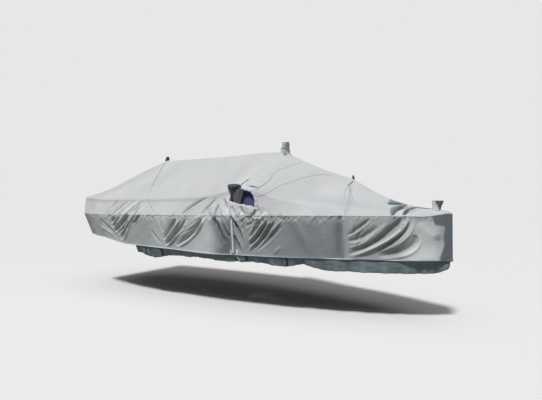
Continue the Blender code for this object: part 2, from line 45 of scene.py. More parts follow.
# A place on the cloth is given by aft, the metres behind the stem line, and by level: 0 ridge,
# 1 knuckle, 2 sheer seam, 3 hem, 4 foot of the band. Port levels are negative. All is in metres.
LENGTH = 6.93            # stem line to transom
STEM_X = 3.98            # the origin lies this far aft of the stem line
RIDGE = 1.1327           # height of the ridge's underside there, above the sheer seam
CANVAS_THICK = 0.0012
NOSE = 0.02              # how far the rounded nose stands forward of the stem

# Half widths from the centreline and heights above the sheer seam amidships
SECTION_COLUMNS = ("aft", "ridge", "knuckle_half", "knuckle", "sheer_half", "sheer", "hem_half", "hem")
SECTIONS = (
    (0.00, 0.086, 0.021, 0.080, 0.034, 0.066, 0.034, -0.615),
    (0.03, 0.092, 0.033, 0.081, 0.048, 0.062, 0.047, -0.615),
    (0.12, 0.108, 0.072, 0.080, 0.095, 0.050, 0.092, -0.615),
    (0.27, 0.128, 0.135, 0.070, 0.185, 0.010, 0.178, -0.614),
    (0.48, 0.162, 0.225, 0.072, 0.305, 0.018, 0.290, -0.614),
    (0.72, 0.220, 0.320, 0.078, 0.425, 0.022, 0.405, -0.614),
    (1.04, 0.360, 0.430, 0.105, 0.560, 0.022, 0.535, -0.612),
    (1.44, 0.610, 0.570, 0.155, 0.700, 0.020, 0.670, -0.612),
    (1.90, 0.765, 0.700, 0.200, 0.840, 0.016, 0.805, -0.614),
    (2.30, 0.935, 0.840, 0.310, 0.930, 0.012, 0.900, -0.616),
    (2.68, 1.125, 0.950, 0.430, 0.995, 0.008, 0.965, -0.617),
    (3.05, 1.148, 1.000, 0.455, 1.045, 0.006, 1.010, -0.620),
    (3.60, 1.138, 1.035, 0.330, 1.090, 0.002, 1.055, -0.625),
    (4.20, 1.132, 1.060, 0.305, 1.122, -0.004, 1.080, -0.600),
    (4.85, 1.133, 1.070, 0.300, 1.132, -0.008, 1.085, -0.575),
    (5.60, 1.137, 1.065, 0.298, 1.118, -0.010, 1.060, -0.560),
    (6.25, 0.950, 1.035, 0.305, 1.080, -0.018, 0.985, -0.470),
    (6.93, 0.722, 0.985, 0.350, 1.020, -0.004, 0.830, -0.420),
)
# How far the roof hangs below a straight line from ridge to knuckle: aft, sag
SAGS = (
    (0.0, 0.0), (0.9, 0.010), (1.5, 0.020), (2.4, 0.012),
    (3.2, 0.0), (4.3, 0.020), (5.6, 0.010), (6.93, 0.035),
)
# The band below the hem: aft, how far its foot is inset from the hem, and how far it drops
BAND = (
    (0.00, 0.004, 0.125),
    (0.18, 0.022, 0.180),
    (0.60, 0.030, 0.190),
    (1.65, 0.040, 0.182),
    (1.95, 0.045, 0.100),
    (2.25, 0.045, 0.150),
    (2.75, 0.050, 0.098),
    (3.30, 0.055, 0.124),
    (3.70, 0.055, 0.086),
    (4.35, 0.060, 0.112),
    (4.85, 0.060, 0.205),
    (5.25, 0.060, 0.135),
)
BAND_AFT, BAND_INSET, BAND_DROP = np.array(BAND).T
# Metres of cloth from one level to the next, and from ridge to sheer seam
RUN = {"roof": 1.25, "upper": 0.31, "skirt": 0.61}
RIDGE_DOWN = RUN["roof"] + RUN["upper"]
# How the edges are rounded: by levels either way at each level, and by metres either way fore and aft
EDGE_ROUNDING = ((0, 0.5, 1, 1.5, 2, 2.5, 3, 4), (0.035, 0.06, 0.08, 0.05, 0.03, 0.03, 0.02, 0.0))
STATION_ROUNDING = 0.11
ROUNDING_TAPS = 7
SOFT_KNUCKLE = 0.20      # extra rounding of the knuckle in the fore half, in levels
SOFT_KNUCKLE_END = 2.75
NOSE_ROUND = (0.040, 0.034)  # the nose's top corner is rounded from this far aft, by this much

# Metres aft of the stem where each seam crosses the ridge, the knuckle and the sheer
SEAMS = {
    "nose": (-NOSE, -NOSE, -NOSE),
    "forward": (1.44, 1.36, 1.34),
    "middle": (2.68, 2.97, 3.085),
    "aft": (5.60, 5.01, 4.78),
    "transom": (LENGTH, LENGTH, LENGTH),
}

# Folds: a ridge (positive height) or trough along a curve through three places, a, b and c. Down is
# the metres along the cloth below the sheer seam, negative above it.
# aft_a, down_a, aft_b, down_b, aft_c, down_c, width, height
FOLDS_STARBOARD = (
    (5.80, -0.28, 5.91, -0.19, 6.03, -0.10, 0.020, -0.012),
    (5.49, -0.26, 5.73, -0.12, 5.98, 0.02, 0.022, -0.014),
    (5.44, -0.26, 5.61, -0.14, 5.80, -0.01, 0.020, 0.010),
    (5.07, -0.27, 5.22, -0.13, 5.39, -0.03, 0.020, -0.014),
    (5.15, -0.28, 5.50, -0.06, 5.98, 0.36, 0.022, 0.018),
    (5.09, -0.23, 5.32, 0.02, 5.80, 0.48, 0.022, 0.022),
    (4.99, -0.30, 4.88, -0.16, 4.78, -0.03, 0.020, -0.012),
    (5.86, 0.04, 5.93, 0.11, 6.01, 0.20, 0.034, -0.030),
    (5.73, 0.05, 5.85, 0.17, 5.97, 0.30, 0.030, -0.028),
    (5.46, 0.00, 5.67, 0.17, 5.93, 0.41, 0.046, -0.044),
    (5.55, 0.26, 5.64, 0.40, 5.74, 0.55, 0.040, -0.032),
    (5.14, 0.01, 5.24, 0.10, 5.33, 0.19, 0.028, -0.026),
    (5.40, 0.16, 5.52, 0.36, 5.65, 0.58, 0.024, 0.020),
    (6.37, 0.11, 6.09, 0.34, 5.81, 0.53, 0.045, -0.012),
    (6.45, 0.31, 6.20, 0.41, 5.96, 0.49, 0.029, 0.010),
    (4.86, 0.27, 4.73, 0.40, 4.60, 0.53, 0.024, -0.014),
    (3.58, -0.28, 3.90, -0.15, 4.12, 0.01, 0.020, -0.026),
    (4.24, 0.06, 4.38, 0.23, 4.54, 0.45, 0.038, -0.042),
    (4.01, 0.05, 4.27, 0.32, 4.52, 0.55, 0.034, -0.042),
    (4.03, 0.18, 4.14, 0.26, 4.25, 0.36, 0.024, -0.020),
    (3.39, -0.24, 3.55, -0.13, 3.69, 0.00, 0.020, -0.020),
    (3.68, 0.04, 3.89, 0.29, 4.25, 0.53, 0.042, -0.050),
    (3.61, 0.03, 3.76, 0.22, 4.18, 0.55, 0.020, 0.024),
    (4.16, 0.08, 4.33, 0.27, 4.50, 0.45, 0.019, 0.020),
    (4.00, 0.14, 4.26, 0.38, 4.45, 0.56, 0.018, 0.018),
    (3.35, -0.15, 3.40, 0.00, 3.43, 0.20, 0.022, -0.026),
    (3.26, -0.23, 3.21, -0.14, 3.16, -0.06, 0.018, -0.020),
    (3.36, 0.07, 3.32, 0.25, 3.23, 0.43, 0.044, -0.034),
    (3.29, 0.05, 3.22, 0.16, 3.15, 0.27, 0.018, 0.016),
    (3.40, 0.02, 3.39, 0.22, 3.29, 0.49, 0.060, -0.036),
    (3.31, 0.02, 3.23, 0.25, 3.16, 0.37, 0.015, 0.018),
    (3.27, 0.01, 3.18, 0.18, 3.12, 0.29, 0.015, 0.016),
    (3.26, 0.06, 3.20, 0.21, 3.13, 0.33, 0.022, -0.020),
    (3.12, -0.11, 3.02, 0.26, 2.95, 0.43, 0.016, 0.024),
    (3.08, 0.05, 2.98, 0.21, 2.88, 0.44, 0.030, -0.034),
    (3.00, 0.04, 2.93, 0.24, 2.86, 0.46, 0.016, 0.014),
    (3.05, 0.30, 3.01, 0.43, 2.95, 0.57, 0.040, -0.030),
    (3.34, -0.14, 3.39, -0.05, 3.41, 0.04, 0.016, -0.020),
    (3.17, -0.23, 3.13, -0.11, 3.10, 0.05, 0.014, 0.014),
    (3.09, -0.11, 3.04, -0.05, 2.98, 0.04, 0.014, -0.014),
    (2.95, -0.11, 2.91, -0.07, 2.88, -0.02, 0.013, -0.014),
    (2.85, -0.06, 2.83, -0.02, 2.82, 0.03, 0.014, -0.014),
    (2.66, -0.08, 2.71, -0.03, 2.76, 0.02, 0.014, -0.014),
    (2.56, -0.08, 2.58, -0.03, 2.59, 0.02, 0.012, -0.012),
    (2.50, -0.05, 2.58, 0.03, 2.65, 0.06, 0.013, 0.014),
    (2.69, 0.06, 2.76, 0.12, 2.84, 0.17, 0.020, -0.018),
    (2.88, 0.09, 2.93, 0.15, 2.94, 0.21, 0.013, 0.012),
    (2.45, 0.08, 2.57, 0.27, 2.81, 0.54, 0.016, 0.034),
    (2.48, 0.07, 2.61, 0.27, 2.77, 0.44, 0.030, -0.034),
    (2.51, 0.07, 2.65, 0.23, 2.79, 0.39, 0.016, 0.030),
    (2.59, 0.09, 2.68, 0.20, 2.77, 0.34, 0.026, -0.026),
    (2.67, 0.09, 2.73, 0.20, 2.78, 0.30, 0.015, 0.022),
    (2.36, 0.08, 2.50, 0.27, 2.70, 0.49, 0.032, -0.034),
    (2.24, 0.05, 2.34, 0.16, 2.46, 0.28, 0.016, 0.022),
    (2.23, 0.13, 2.44, 0.33, 2.66, 0.53, 0.032, -0.016),
    (2.27, 0.46, 2.33, 0.51, 2.38, 0.57, 0.022, 0.012),
    (2.20, 0.02, 2.05, 0.31, 1.90, 0.58, 0.090, -0.012),
    (1.72, 0.02, 1.64, 0.28, 1.60, 0.54, 0.050, 0.008),
    (1.40, -0.02, 1.42, 0.29, 1.42, 0.62, 0.040, -0.026),
    (0.13, 0.66, 0.30, 0.58, 0.62, 0.66, 0.170, 0.040),
    (0.12, 0.30, 0.26, 0.24, 0.40, 0.10, 0.110, 0.016),
    (2.94, -0.12, 2.91, -0.07, 2.88, -0.02, 0.014, -0.016),
    (2.75, -0.01, 2.71, -0.03, 2.68, -0.06, 0.014, -0.020),
    (2.57, -0.07, 2.57, -0.04, 2.57, -0.01, 0.012, -0.014),
    (3.11, -0.12, 3.07, -0.05, 3.01, 0.03, 0.013, -0.016),
    (3.23, -0.19, 3.19, -0.12, 3.15, -0.04, 0.018, -0.020),
    (3.10, 0.00, 3.06, 0.08, 3.01, 0.17, 0.016, -0.022),
    (1.00, 0.04, 1.15, 0.17, 1.31, 0.28, 0.024, -0.024),
    (0.90, 0.15, 1.12, 0.30, 1.30, 0.35, 0.032, -0.024),
    (0.78, 0.09, 1.00, 0.32, 1.29, 0.45, 0.020, 0.020),
    (0.61, 0.02, 0.80, 0.26, 1.30, 0.54, 0.042, -0.050),
    (0.53, 0.01, 0.68, 0.26, 1.25, 0.58, 0.024, 0.034),
    (0.52, 0.08, 0.62, 0.27, 0.95, 0.50, 0.024, -0.032),
    (0.45, 0.04, 0.56, 0.31, 0.88, 0.49, 0.022, 0.020),
    (0.44, 0.25, 0.52, 0.44, 0.90, 0.55, 0.046, -0.036),
    (0.35, -1.40, 0.62, -1.00, 0.73, -0.08, 0.040, -0.030),
    (0.33, -1.20, 0.52, -0.80, 0.60, -0.12, 0.030, 0.016),
    (0.62, -1.46, 0.74, -1.28, 0.84, -1.05, 0.050, -0.026),
    (0.57, -1.30, 0.72, -0.95, 0.78, -0.60, 0.030, 0.014),
    (0.36, -1.00, 0.47, -0.60, 0.53, -0.15, 0.026, -0.016),
    (1.46, -1.22, 1.39, -1.03, 1.33, -0.09, 0.020, -0.010),
)
FOLDS_PORT = (
    (5.80, -0.25, 5.65, 0.10, 5.85, 0.50, 0.050, -0.030),
    (5.62, -0.22, 5.50, 0.08, 5.74, 0.52, 0.024, 0.020),
    (5.30, -0.27, 5.42, -0.12, 5.60, 0.02, 0.022, -0.014),
    (5.20, 0.02, 5.45, 0.28, 5.70, 0.50, 0.046, -0.036),
    (5.02, 0.05, 5.30, 0.33, 5.62, 0.56, 0.024, 0.022),
    (6.40, 0.10, 6.15, 0.32, 5.92, 0.50, 0.040, -0.014),
    (4.80, -0.28, 4.72, -0.12, 4.62, 0.02, 0.020, -0.012),
    (4.70, 0.24, 4.66, 0.38, 4.60, 0.54, 0.026, -0.016),
    (4.20, 0.04, 4.40, 0.28, 4.55, 0.50, 0.044, -0.040),
    (4.06, 0.08, 4.28, 0.34, 4.48, 0.56, 0.022, 0.022),
    (3.96, 0.18, 4.16, 0.38, 4.38, 0.57, 0.030, -0.024),
    (3.66, -0.18, 3.85, 0.05, 4.20, 0.50, 0.044, -0.042),
    (3.54, -0.14, 3.72, 0.12, 4.06, 0.53, 0.020, 0.024),
    (3.50, -0.26, 3.66, -0.16, 3.86, -0.02, 0.020, -0.020),
    (3.36, 0.05, 3.34, 0.25, 3.32, 0.48, 0.044, -0.030),
    (3.24, 0.02, 3.20, 0.18, 3.14, 0.36, 0.020, 0.016),
    (3.04, 0.02, 2.98, 0.20, 2.88, 0.44, 0.026, -0.026),
    (2.40, 0.08, 2.60, 0.30, 2.80, 0.52, 0.040, -0.030),
    (2.30, 0.12, 2.50, 0.34, 2.72, 0.56, 0.020, 0.018),
    (2.16, 0.16, 2.34, 0.36, 2.54, 0.54, 0.030, -0.014),
    (1.76, 0.10, 1.80, 0.30, 1.86, 0.52, 0.050, -0.014),
    (1.34, 0.06, 1.36, 0.26, 1.38, 0.50, 0.044, -0.020),
    (1.04, 0.06, 1.18, 0.20, 1.33, 0.32, 0.026, -0.020),
    (0.66, 0.02, 0.85, 0.26, 1.30, 0.54, 0.044, -0.042),
    (0.56, 0.02, 0.73, 0.28, 1.22, 0.58, 0.024, 0.028),
    (0.48, 0.20, 0.58, 0.40, 0.95, 0.55, 0.044, -0.030),
    (0.42, 0.06, 0.50, 0.30, 0.80, 0.50, 0.022, 0.018),
    (0.40, -1.40, 0.50, -0.80, 0.60, -0.12, 0.032, -0.012),
    (0.66, -1.45, 0.74, -1.00, 0.77, -0.25, 0.040, -0.012),
)
FOLD_STEPS = 8
FOLD_DEPTH = 1.25

# Small creases fan out from each place where a strap draws the hem down: the gather's aft and down,
# the fore and aft end of the fan's top and its down, and how many there are
FANS = (
    (5.78, 0.55, 5.00, 5.95, -0.25, 15),
    (4.50, 0.54, 3.60, 4.75, 0.00, 16),
    (3.11, 0.57, 3.08, 3.66, -0.20, 16),
    (2.85, 0.54, 2.36, 3.04, 0.02, 16),
    (1.28, 0.56, 0.44, 1.30, 0.02, 13),
)

# Puckers gathered by the sheer seam: how strong they are from bow to stern
PUCKERS = (
    (0, 0.5, 0.9, 1.4, 2.0, 2.5, 2.9, 3.3, 4.2, 5.0, 6.0, 6.93),
    (0.1, 0.5, 0.9, 0.6, 0.4, 0.9, 1.4, 1.1, 0.4, 0.8, 0.7, 0.1),
)
PUCKER_COUNT = 200
CRUMPLE_COUNT = 90       # crumples below the side opening
CRUMPLED = ((2.42, 3.10), (-0.12, 0.20))   # where they lie: aft, down
GATHER_COUNT = 18        # small gathers along the middle of the fore skirt
GATHER_START, GATHER_RUN = 1.38, 1.10
RIDGE_NICKS = 24         # short creases across the ridge near the stern
NICKED = (5.65, 6.85)


def small_folds(side):
    """Rows of small folds, drawn by chance from a fixed seed. Each fan's creases run part of the way
    to its gather, puckers are short slanting folds across the sheer seam, crumples lie every way
    below the opening, gathers hang from the sheer seam, and nicks cross the ridge."""
    chance = np.random.default_rng(31 + side)
    rows = []
    for gather_aft, gather_down, start, end, top, count in FANS:
        aft_a = start + (end - start) * (np.arange(count) + chance.uniform(0, 0.8, count)) / count
        down_a = top + chance.uniform(0, 0.12, count)
        reach = chance.uniform(0.40, 0.90, count)
        aft_c, down_c = aft_a + (gather_aft - aft_a) * reach, down_a + (gather_down - down_a) * reach
        down_b = (down_a + down_c) / 2 + chance.uniform(-0.01, 0.035, count)
        height = chance.choice((-1, 1), count) * chance.uniform(0.005, 0.012, count)
        width = chance.uniform(0.009, 0.016, count)
        rows.append(np.stack((aft_a, down_a, (aft_a + aft_c) / 2, down_b, aft_c, down_c, width, height)).T)
    aft_b = np.sort(chance.uniform(0.1, LENGTH - 0.1, PUCKER_COUNT))
    strength = np.interp(aft_b, *PUCKERS)
    slant = chance.uniform(-0.045, 0.065, PUCKER_COUNT)
    down_a, down_c = chance.uniform(-0.055, 0.02, PUCKER_COUNT), chance.uniform(0.04, 0.12, PUCKER_COUNT)
    height = chance.choice((-1, -1, 1), PUCKER_COUNT) * chance.uniform(0.004, 0.012, PUCKER_COUNT) * strength
    width = chance.uniform(0.010, 0.020, PUCKER_COUNT)
    middle = (down_a + down_c) / 2
    ends = (aft_b - slant, down_a, aft_b, middle, aft_b + slant * 0.6, down_c, width, height)
    rows.append(np.stack(ends).T)
    aft_b, middle = (chance.uniform(low, high, CRUMPLE_COUNT) for low, high in CRUMPLED)
    turn, half = chance.uniform(0.5, 2.4, CRUMPLE_COUNT), chance.uniform(0.018, 0.045, CRUMPLE_COUNT)
    run_aft, run_down = half * np.cos(turn), half * np.sin(turn)
    height = chance.choice((-1, -1, 1), CRUMPLE_COUNT) * chance.uniform(0.005, 0.012, CRUMPLE_COUNT)
    width = chance.uniform(0.008, 0.013, CRUMPLE_COUNT)
    ends = (aft_b - run_aft, middle - run_down, aft_b, middle, aft_b + run_aft, middle + run_down,
            width, height)
    rows.append(np.stack(ends).T)
    aft_b = np.arange(GATHER_COUNT) + chance.uniform(0, 0.9, GATHER_COUNT)
    aft_b = GATHER_START + GATHER_RUN * aft_b / GATHER_COUNT
    lean, down_c = chance.uniform(0.02, 0.16, GATHER_COUNT), chance.uniform(0.07, 0.19, GATHER_COUNT)
    width = chance.uniform(0.014, 0.026, GATHER_COUNT)
    height = chance.choice((-1, 1), GATHER_COUNT) * chance.uniform(0.003, 0.008, GATHER_COUNT)
    down_a = np.full(GATHER_COUNT, -0.03)
    ends = (aft_b, down_a, aft_b + lean * 0.4, down_c * 0.45, aft_b + lean, down_c, width, height)
    rows.append(np.stack(ends).T)
    aft_b = np.sort(chance.uniform(*NICKED, RIDGE_NICKS))
    down_a, down_c = np.full(RIDGE_NICKS, -RIDGE_DOWN), chance.uniform(-1.44, -1.30, RIDGE_NICKS)
    width, height = chance.uniform(0.012, 0.022, RIDGE_NICKS), chance.uniform(-0.012, -0.004, RIDGE_NICKS)
    slant = chance.uniform(-0.10, 0.02, RIDGE_NICKS)
    ends = (aft_b, down_a, aft_b + slant / 2, (down_a + down_c) / 2, aft_b + slant, down_c, width, height)
    rows.append(np.stack(ends).T)
    return np.concatenate(rows)


FOLDS = {
    1: np.concatenate((FOLDS_STARBOARD, small_folds(1))),
    -1: np.concatenate((FOLDS_PORT, small_folds(-1))),
}

# Edge of the side openings: aft, height above the sheer seam
OPENING = (
    (2.700, 0.158), (2.702, 0.200), (2.712, 0.260), (2.738, 0.330), (2.785, 0.382), (2.850, 0.410),
    (2.920, 0.418), (2.950, 0.430), (2.962, 0.470), (2.985, 0.495), (3.020, 0.503), (3.110, 0.503),
    (3.130, 0.480), (3.136, 0.400), (3.132, 0.245), (3.100, 0.228), (3.020, 0.214), (2.960, 0.190),
    (2.900, 0.196), (2.840, 0.172), (2.780, 0.176), (2.730, 0.155), (2.700, 0.158),
)

SECTION = dict(zip(SECTION_COLUMNS, np.array(SECTIONS).T))
SECTION["sag"] = np.interp(SECTION["aft"], *np.array(SAGS).T)


def across(name, aft):
    """A column of the cross sections: straight between stations, then rounded by the mean of the
    places up to STATION_ROUNDING ahead and behind."""
    reach = np.clip(np.minimum(aft, LENGTH - aft), 0, STATION_ROUNDING)
    places = [np.clip(aft + reach * tap, 0, LENGTH) for tap in np.linspace(-1, 1, ROUNDING_TAPS)]
    return sum(np.interp(place, SECTION["aft"], SECTION[name]) for place in places) / ROUNDING_TAPS


def plain(aft, level):
    """The middle surface without folds. Half width and height run straight between the edge lines,
    and every edge is rounded by the mean of the levels near it; the nose is half an oval from above."""
    aft, level = np.broadcast_arrays(np.asarray(aft, float), np.asarray(level, float))
    at = {name: across(name, aft) for name in SECTION if name != "aft"}
    inset, drop = (np.interp(aft, BAND_AFT, column) for column in (BAND_INSET, BAND_DROP))
    foot_half = np.maximum(at["hem_half"] - inset, 0)
    halves = (0 * aft, at["knuckle_half"], at["sheer_half"], at["hem_half"], foot_half)
    heights = (at["ridge"], at["knuckle"], at["sheer"], at["hem"], at["hem"] - drop)
    reach = np.interp(np.abs(level), *EDGE_ROUNDING)
    fore = np.clip((SOFT_KNUCKLE_END - aft) / 0.4, 0, 1)
    reach = reach + SOFT_KNUCKLE * fore * np.exp(-((np.abs(level) - 1) / 0.4) ** 2)
    y, z = 0, 0
    for tap in np.linspace(-1, 1, ROUNDING_TAPS):
        signed = level + tap * reach
        depth = np.clip(np.abs(signed), 0, 4)
        span = np.minimum(depth.astype(int), 3)
        part = depth - span
        half = np.choose(span, halves[:4]) * (1 - part) + np.choose(span, halves[1:]) * part
        y = y - np.sign(signed) * half
        roof = np.clip(depth, 0, 1)
        z = z + np.choose(span, heights[:4]) * (1 - part) + np.choose(span, heights[1:]) * part
        z = z - 4 * roof * (1 - roof) * at["sag"]
    narrow = np.sqrt(np.clip(1 - (np.minimum(aft, 0) / NOSE) ** 2, 0, 1))
    turned = 1 - np.sqrt(1 - np.clip((NOSE_ROUND[0] - aft) / (NOSE + NOSE_ROUND[0]), 0, 1) ** 2)
    turned = NOSE_ROUND[1] * turned * np.clip((2.35 - np.abs(level)) / 0.30, 0, 1)
    return np.stack((STEM_X - aft, y / ROUNDING_TAPS * narrow, z / ROUNDING_TAPS - turned - RIDGE), axis=-1)


def unit(vectors):
    """Vectors scaled to a length of one."""
    return vectors / np.maximum(np.linalg.norm(vectors, axis=-1, keepdims=True), 1e-9)


def outward(aft, level):
    """Unit normal of the plain surface: the cross product of a step aft and a step down."""
    aft = np.maximum(aft, -NOSE * 0.98)
    inner = np.clip(level, -3.96, 3.96)
    step = np.minimum(0.008, (aft + NOSE) * 0.5)
    along = plain(aft + step, inner) - plain(aft - step, inner)
    around = plain(aft, inner + 0.02) - plain(aft, inner - 0.02)
    return unit(np.cross(along, around))


def down_of(level):
    """Metres along the cloth below the sheer seam, for a level of either side."""
    depth = np.abs(level)
    above = np.where(depth > 1, (depth - 2) * RUN["upper"], -RUN["upper"] + (depth - 1) * RUN["roof"])
    return np.where(depth > 2, (depth - 2) * RUN["skirt"], above)


def fold_map(side):
    """Height of one side's folds over the cloth laid flat, aft by down. A ridge is
    height * exp(-(distance / width)^1.3). A trough falls steeply from a small crest on its bow side
    and rises slowly toward the stern. Each curve is a parabola through the three places, and the fold
    narrows and fades to a point at both ends."""
    total = np.zeros((len(MAP_AFT), len(MAP_DOWN)))
    t = np.linspace(0, 1, FOLD_STEPS + 1)[:, None]
    for row in FOLDS[side]:
        a, b, c, (width, height) = row[0:2], row[2:4], row[4:6], row[6:]
        curve = a * (1 - t) * (1 - 2 * t) + b * 4 * t * (1 - t) + c * t * (2 * t - 1)
        low, high = curve.min(axis=0) - 4 * width, curve.max(axis=0) + 4 * width
        rows = slice(*np.searchsorted(MAP_AFT, (low[0], high[0])))
        columns = slice(*np.searchsorted(MAP_DOWN, (low[1], high[1])))
        x, y = np.meshgrid(MAP_AFT[rows], MAP_DOWN[columns], indexing="ij")
        nearest, place, away = np.full(x.shape, np.inf), np.zeros(x.shape), np.zeros(x.shape)
        for k, (start, end) in enumerate(zip(curve, curve[1:])):
            run = end - start
            along = np.clip(((x - start[0]) * run[0] + (y - start[1]) * run[1]) / (run @ run), 0, 1)
            gap_x, gap_y = x - start[0] - along * run[0], y - start[1] - along * run[1]
            gap = np.hypot(gap_x, gap_y)
            place = np.where(gap < nearest, (k + along) / FOLD_STEPS, place)
            away = np.where(gap < nearest, np.sign(run[0] * gap_y - run[1] * gap_x) * gap, away)
            nearest = np.minimum(nearest, gap)
        swell = np.sqrt(np.clip(4 * place * (1 - place), 0, 1))
        at = away / (width * (0.35 + 0.65 * swell))
        if height > 0:
            shape = np.exp(-np.abs(at) ** 1.3)
        else:
            steep, slow = np.exp(-(np.abs(at) / 0.80) ** 2.4), np.exp(-(np.abs(at) / 1.25) ** 1.5)
            crest = 0.30 * np.exp(-((at - 1.45) / 0.42) ** 2)
            shape = np.where(at > 0, steep, slow) - crest
        total[rows, columns] += height * FOLD_DEPTH * swell ** 1.3 * shape
    return total


MAP_STEP = 0.005         # the maps reach from just over the ridge to below the band's foot
MAP_AFT = np.arange(-NOSE, LENGTH + MAP_STEP, MAP_STEP)
MAP_DOWN = np.arange(-1.57, 0.79, MAP_STEP)
FOLD_MAPS = {1: fold_map(1), -1: fold_map(-1)}


def fold_height(side, aft, down):
    """One side's folds read from their map, in proportion between its four nearest places."""
    i = np.clip((aft - MAP_AFT[0]) / MAP_STEP, 0, len(MAP_AFT) - 1.001)
    j = np.clip((down - MAP_DOWN[0]) / MAP_STEP, 0, len(MAP_DOWN) - 1.001)
    row, column = i.astype(int), j.astype(int)
    part_i, part_j = i - row, j - column
    folds = FOLD_MAPS[side]
    near = folds[row, column] * (1 - part_i) + folds[row + 1, column] * part_i
    far = folds[row, column + 1] * (1 - part_i) + folds[row + 1, column + 1] * part_i
    return near * (1 - part_j) + far * part_j


ROUND = 6.28             # one turn of a wave, in radians
SLOW_WAVES = (1.3, 0.9, 0.62, 0.43, 0.31, 0.22)   # their lengths
SLOW_WAVE_HEIGHT = 0.0034                          # per metre of length
CROWD_HEIGHT = 0.0018


def unrest(side, aft, down):
    """Small unevenness of hung cloth: six slow waves a side that run aslant, and the puckers of the
    sheer seam, a crowded wave from bow to stern that dies out above and below the seam."""
    seeded = np.random.default_rng(11 + side)
    total = 0
    for size in SLOW_WAVES:
        turn, start = seeded.uniform(-0.9, 0.9), seeded.uniform(0, ROUND)
        wave = np.sin(ROUND / size * (aft * np.cos(turn) + down * np.sin(turn)) + start)
        total = total + size * SLOW_WAVE_HEIGHT * wave
    total = total * np.interp(down, (-RIDGE_DOWN, -0.9, -RUN["upper"], 0.0, 0.6), (0.25, 0.7, 0.6, 0.8, 1.0))
    crowd = np.sin(ROUND * aft / 0.067 + 2.2 * np.sin(ROUND * aft / 0.53 + side))
    crowd = crowd * (0.6 + 0.4 * np.sin(ROUND * aft / 0.37 + 2 * side))
    fade = np.exp(-(down / np.where(down > 0, 0.085, 0.035)) ** 2)
    return total + CROWD_HEIGHT * crowd * fade * np.interp(aft, *PUCKERS)


def relief(aft, level):
    """Height of the hung cloth above the plain surface: folds and unrest, less near the centre."""
    aft, level = np.broadcast_arrays(np.asarray(aft, float), np.asarray(level, float))
    down = down_of(level)
    total = np.where(
        level > 0,
        fold_height(1, aft, down) + unrest(1, aft, down),
        fold_height(-1, aft, down) + unrest(-1, aft, down),
    )
    ends = np.clip((aft + NOSE) / 0.10, 0, 1) * np.clip((LENGTH - aft) / 0.05, 0, 1)
    return total * ends * np.clip(np.abs(level) / 0.06, 0, 1)


def skin(aft, level, lift=0.0):
    """The hung cloth: the plain surface moved outward by its relief and by a lift."""
    return plain(aft, level) + outward(aft, level) * (relief(aft, level) + lift)[..., None]


def level_at(aft, height):
    """The level on roof or upper wall where the cover is this high above the sheer seam."""
    ridge, knuckle, sheer = (across(name, aft) for name in ("ridge", "knuckle", "sheer"))
    on_roof = (ridge - height) / (ridge - knuckle)
    return np.where(height > knuckle, on_roof, 1 + (knuckle - height) / (knuckle - sheer))


def height_at(aft, level):
    """The height above the sheer seam of a level on roof or upper wall, the reverse of level_at."""
    ridge, knuckle, sheer = (across(name, aft) for name in ("ridge", "knuckle", "sheer"))
    depth = np.abs(level)
    on_roof = ridge + (knuckle - ridge) * depth
    return np.where(depth < 1, on_roof, knuckle + (sheer - knuckle) * (depth - 1))


LAP_STEPS = (0.0, 0.005, 0.013, 0.018)   # grid lines beside a sewn edge, where the laps lie


def steps_between(length, step):
    """Shares from 0 to 1 of a length, closer together at both ends, where the seams' laps lie."""
    ends = np.array(LAP_STEPS) / length
    middle = np.linspace(ends[-1], 1 - ends[-1], max(2, int(round(length / step))))
    return np.concatenate((ends[:-1], middle, 1 - ends[:-1][::-1]))


def between(fore, aft, share, level):
    """Metres aft of the stem for columns at shares of the way from one seam to the next."""
    start, end = (np.interp(np.abs(level), (0, 1, 2), SEAMS[seam]) for seam in (fore, aft))
    return start + (end - start) * share


OPENING_SNAP = 0.009


def fit_opening(aft, level):
    """Draws grid places within OPENING_SNAP of an opening's edge onto the nearest place of that edge."""
    corners = np.array(OPENING)
    share = np.linspace(0, len(corners) - 1, 420)
    edge_aft, edge_height = (np.interp(share, np.arange(len(corners)), corners[:, k]) for k in (0, 1))
    aft, level = (np.array(part, float) for part in np.broadcast_arrays(aft, level))
    height = height_at(aft, level)
    (fore_end, foot), (aft_end, top) = corners.min(axis=0) - OPENING_SNAP, corners.max(axis=0) + OPENING_SNAP
    near = (aft > fore_end) & (aft < aft_end) & (height > foot) & (height < top) & (np.abs(level) < 2)
    gap = np.hypot(aft[near][:, None] - edge_aft, height[near][:, None] - edge_height)
    best = gap.argmin(axis=1)
    snap = gap.min(axis=1) < OPENING_SNAP
    moved = np.sign(level[near]) * level_at(edge_aft[best], edge_height[best])
    aft[near] = np.where(snap, edge_aft[best], aft[near])
    level[near] = np.where(snap, moved, level[near])
    return aft, level


def in_opening(aft, level):
    """True inside an opening: a line toward the stern crosses its edge an odd number of times."""
    height = height_at(aft, level)
    inside = np.zeros(height.shape, bool)
    for (aft_a, height_a), (aft_b, height_b) in zip(OPENING, OPENING[1:]):
        if height_a != height_b:
            crossed = aft_a + (height - height_a) * (aft_b - aft_a) / (height_b - height_a)
            inside ^= ((height_a > height) != (height_b > height)) & (aft < crossed)
    return inside & (np.abs(level) < 2)


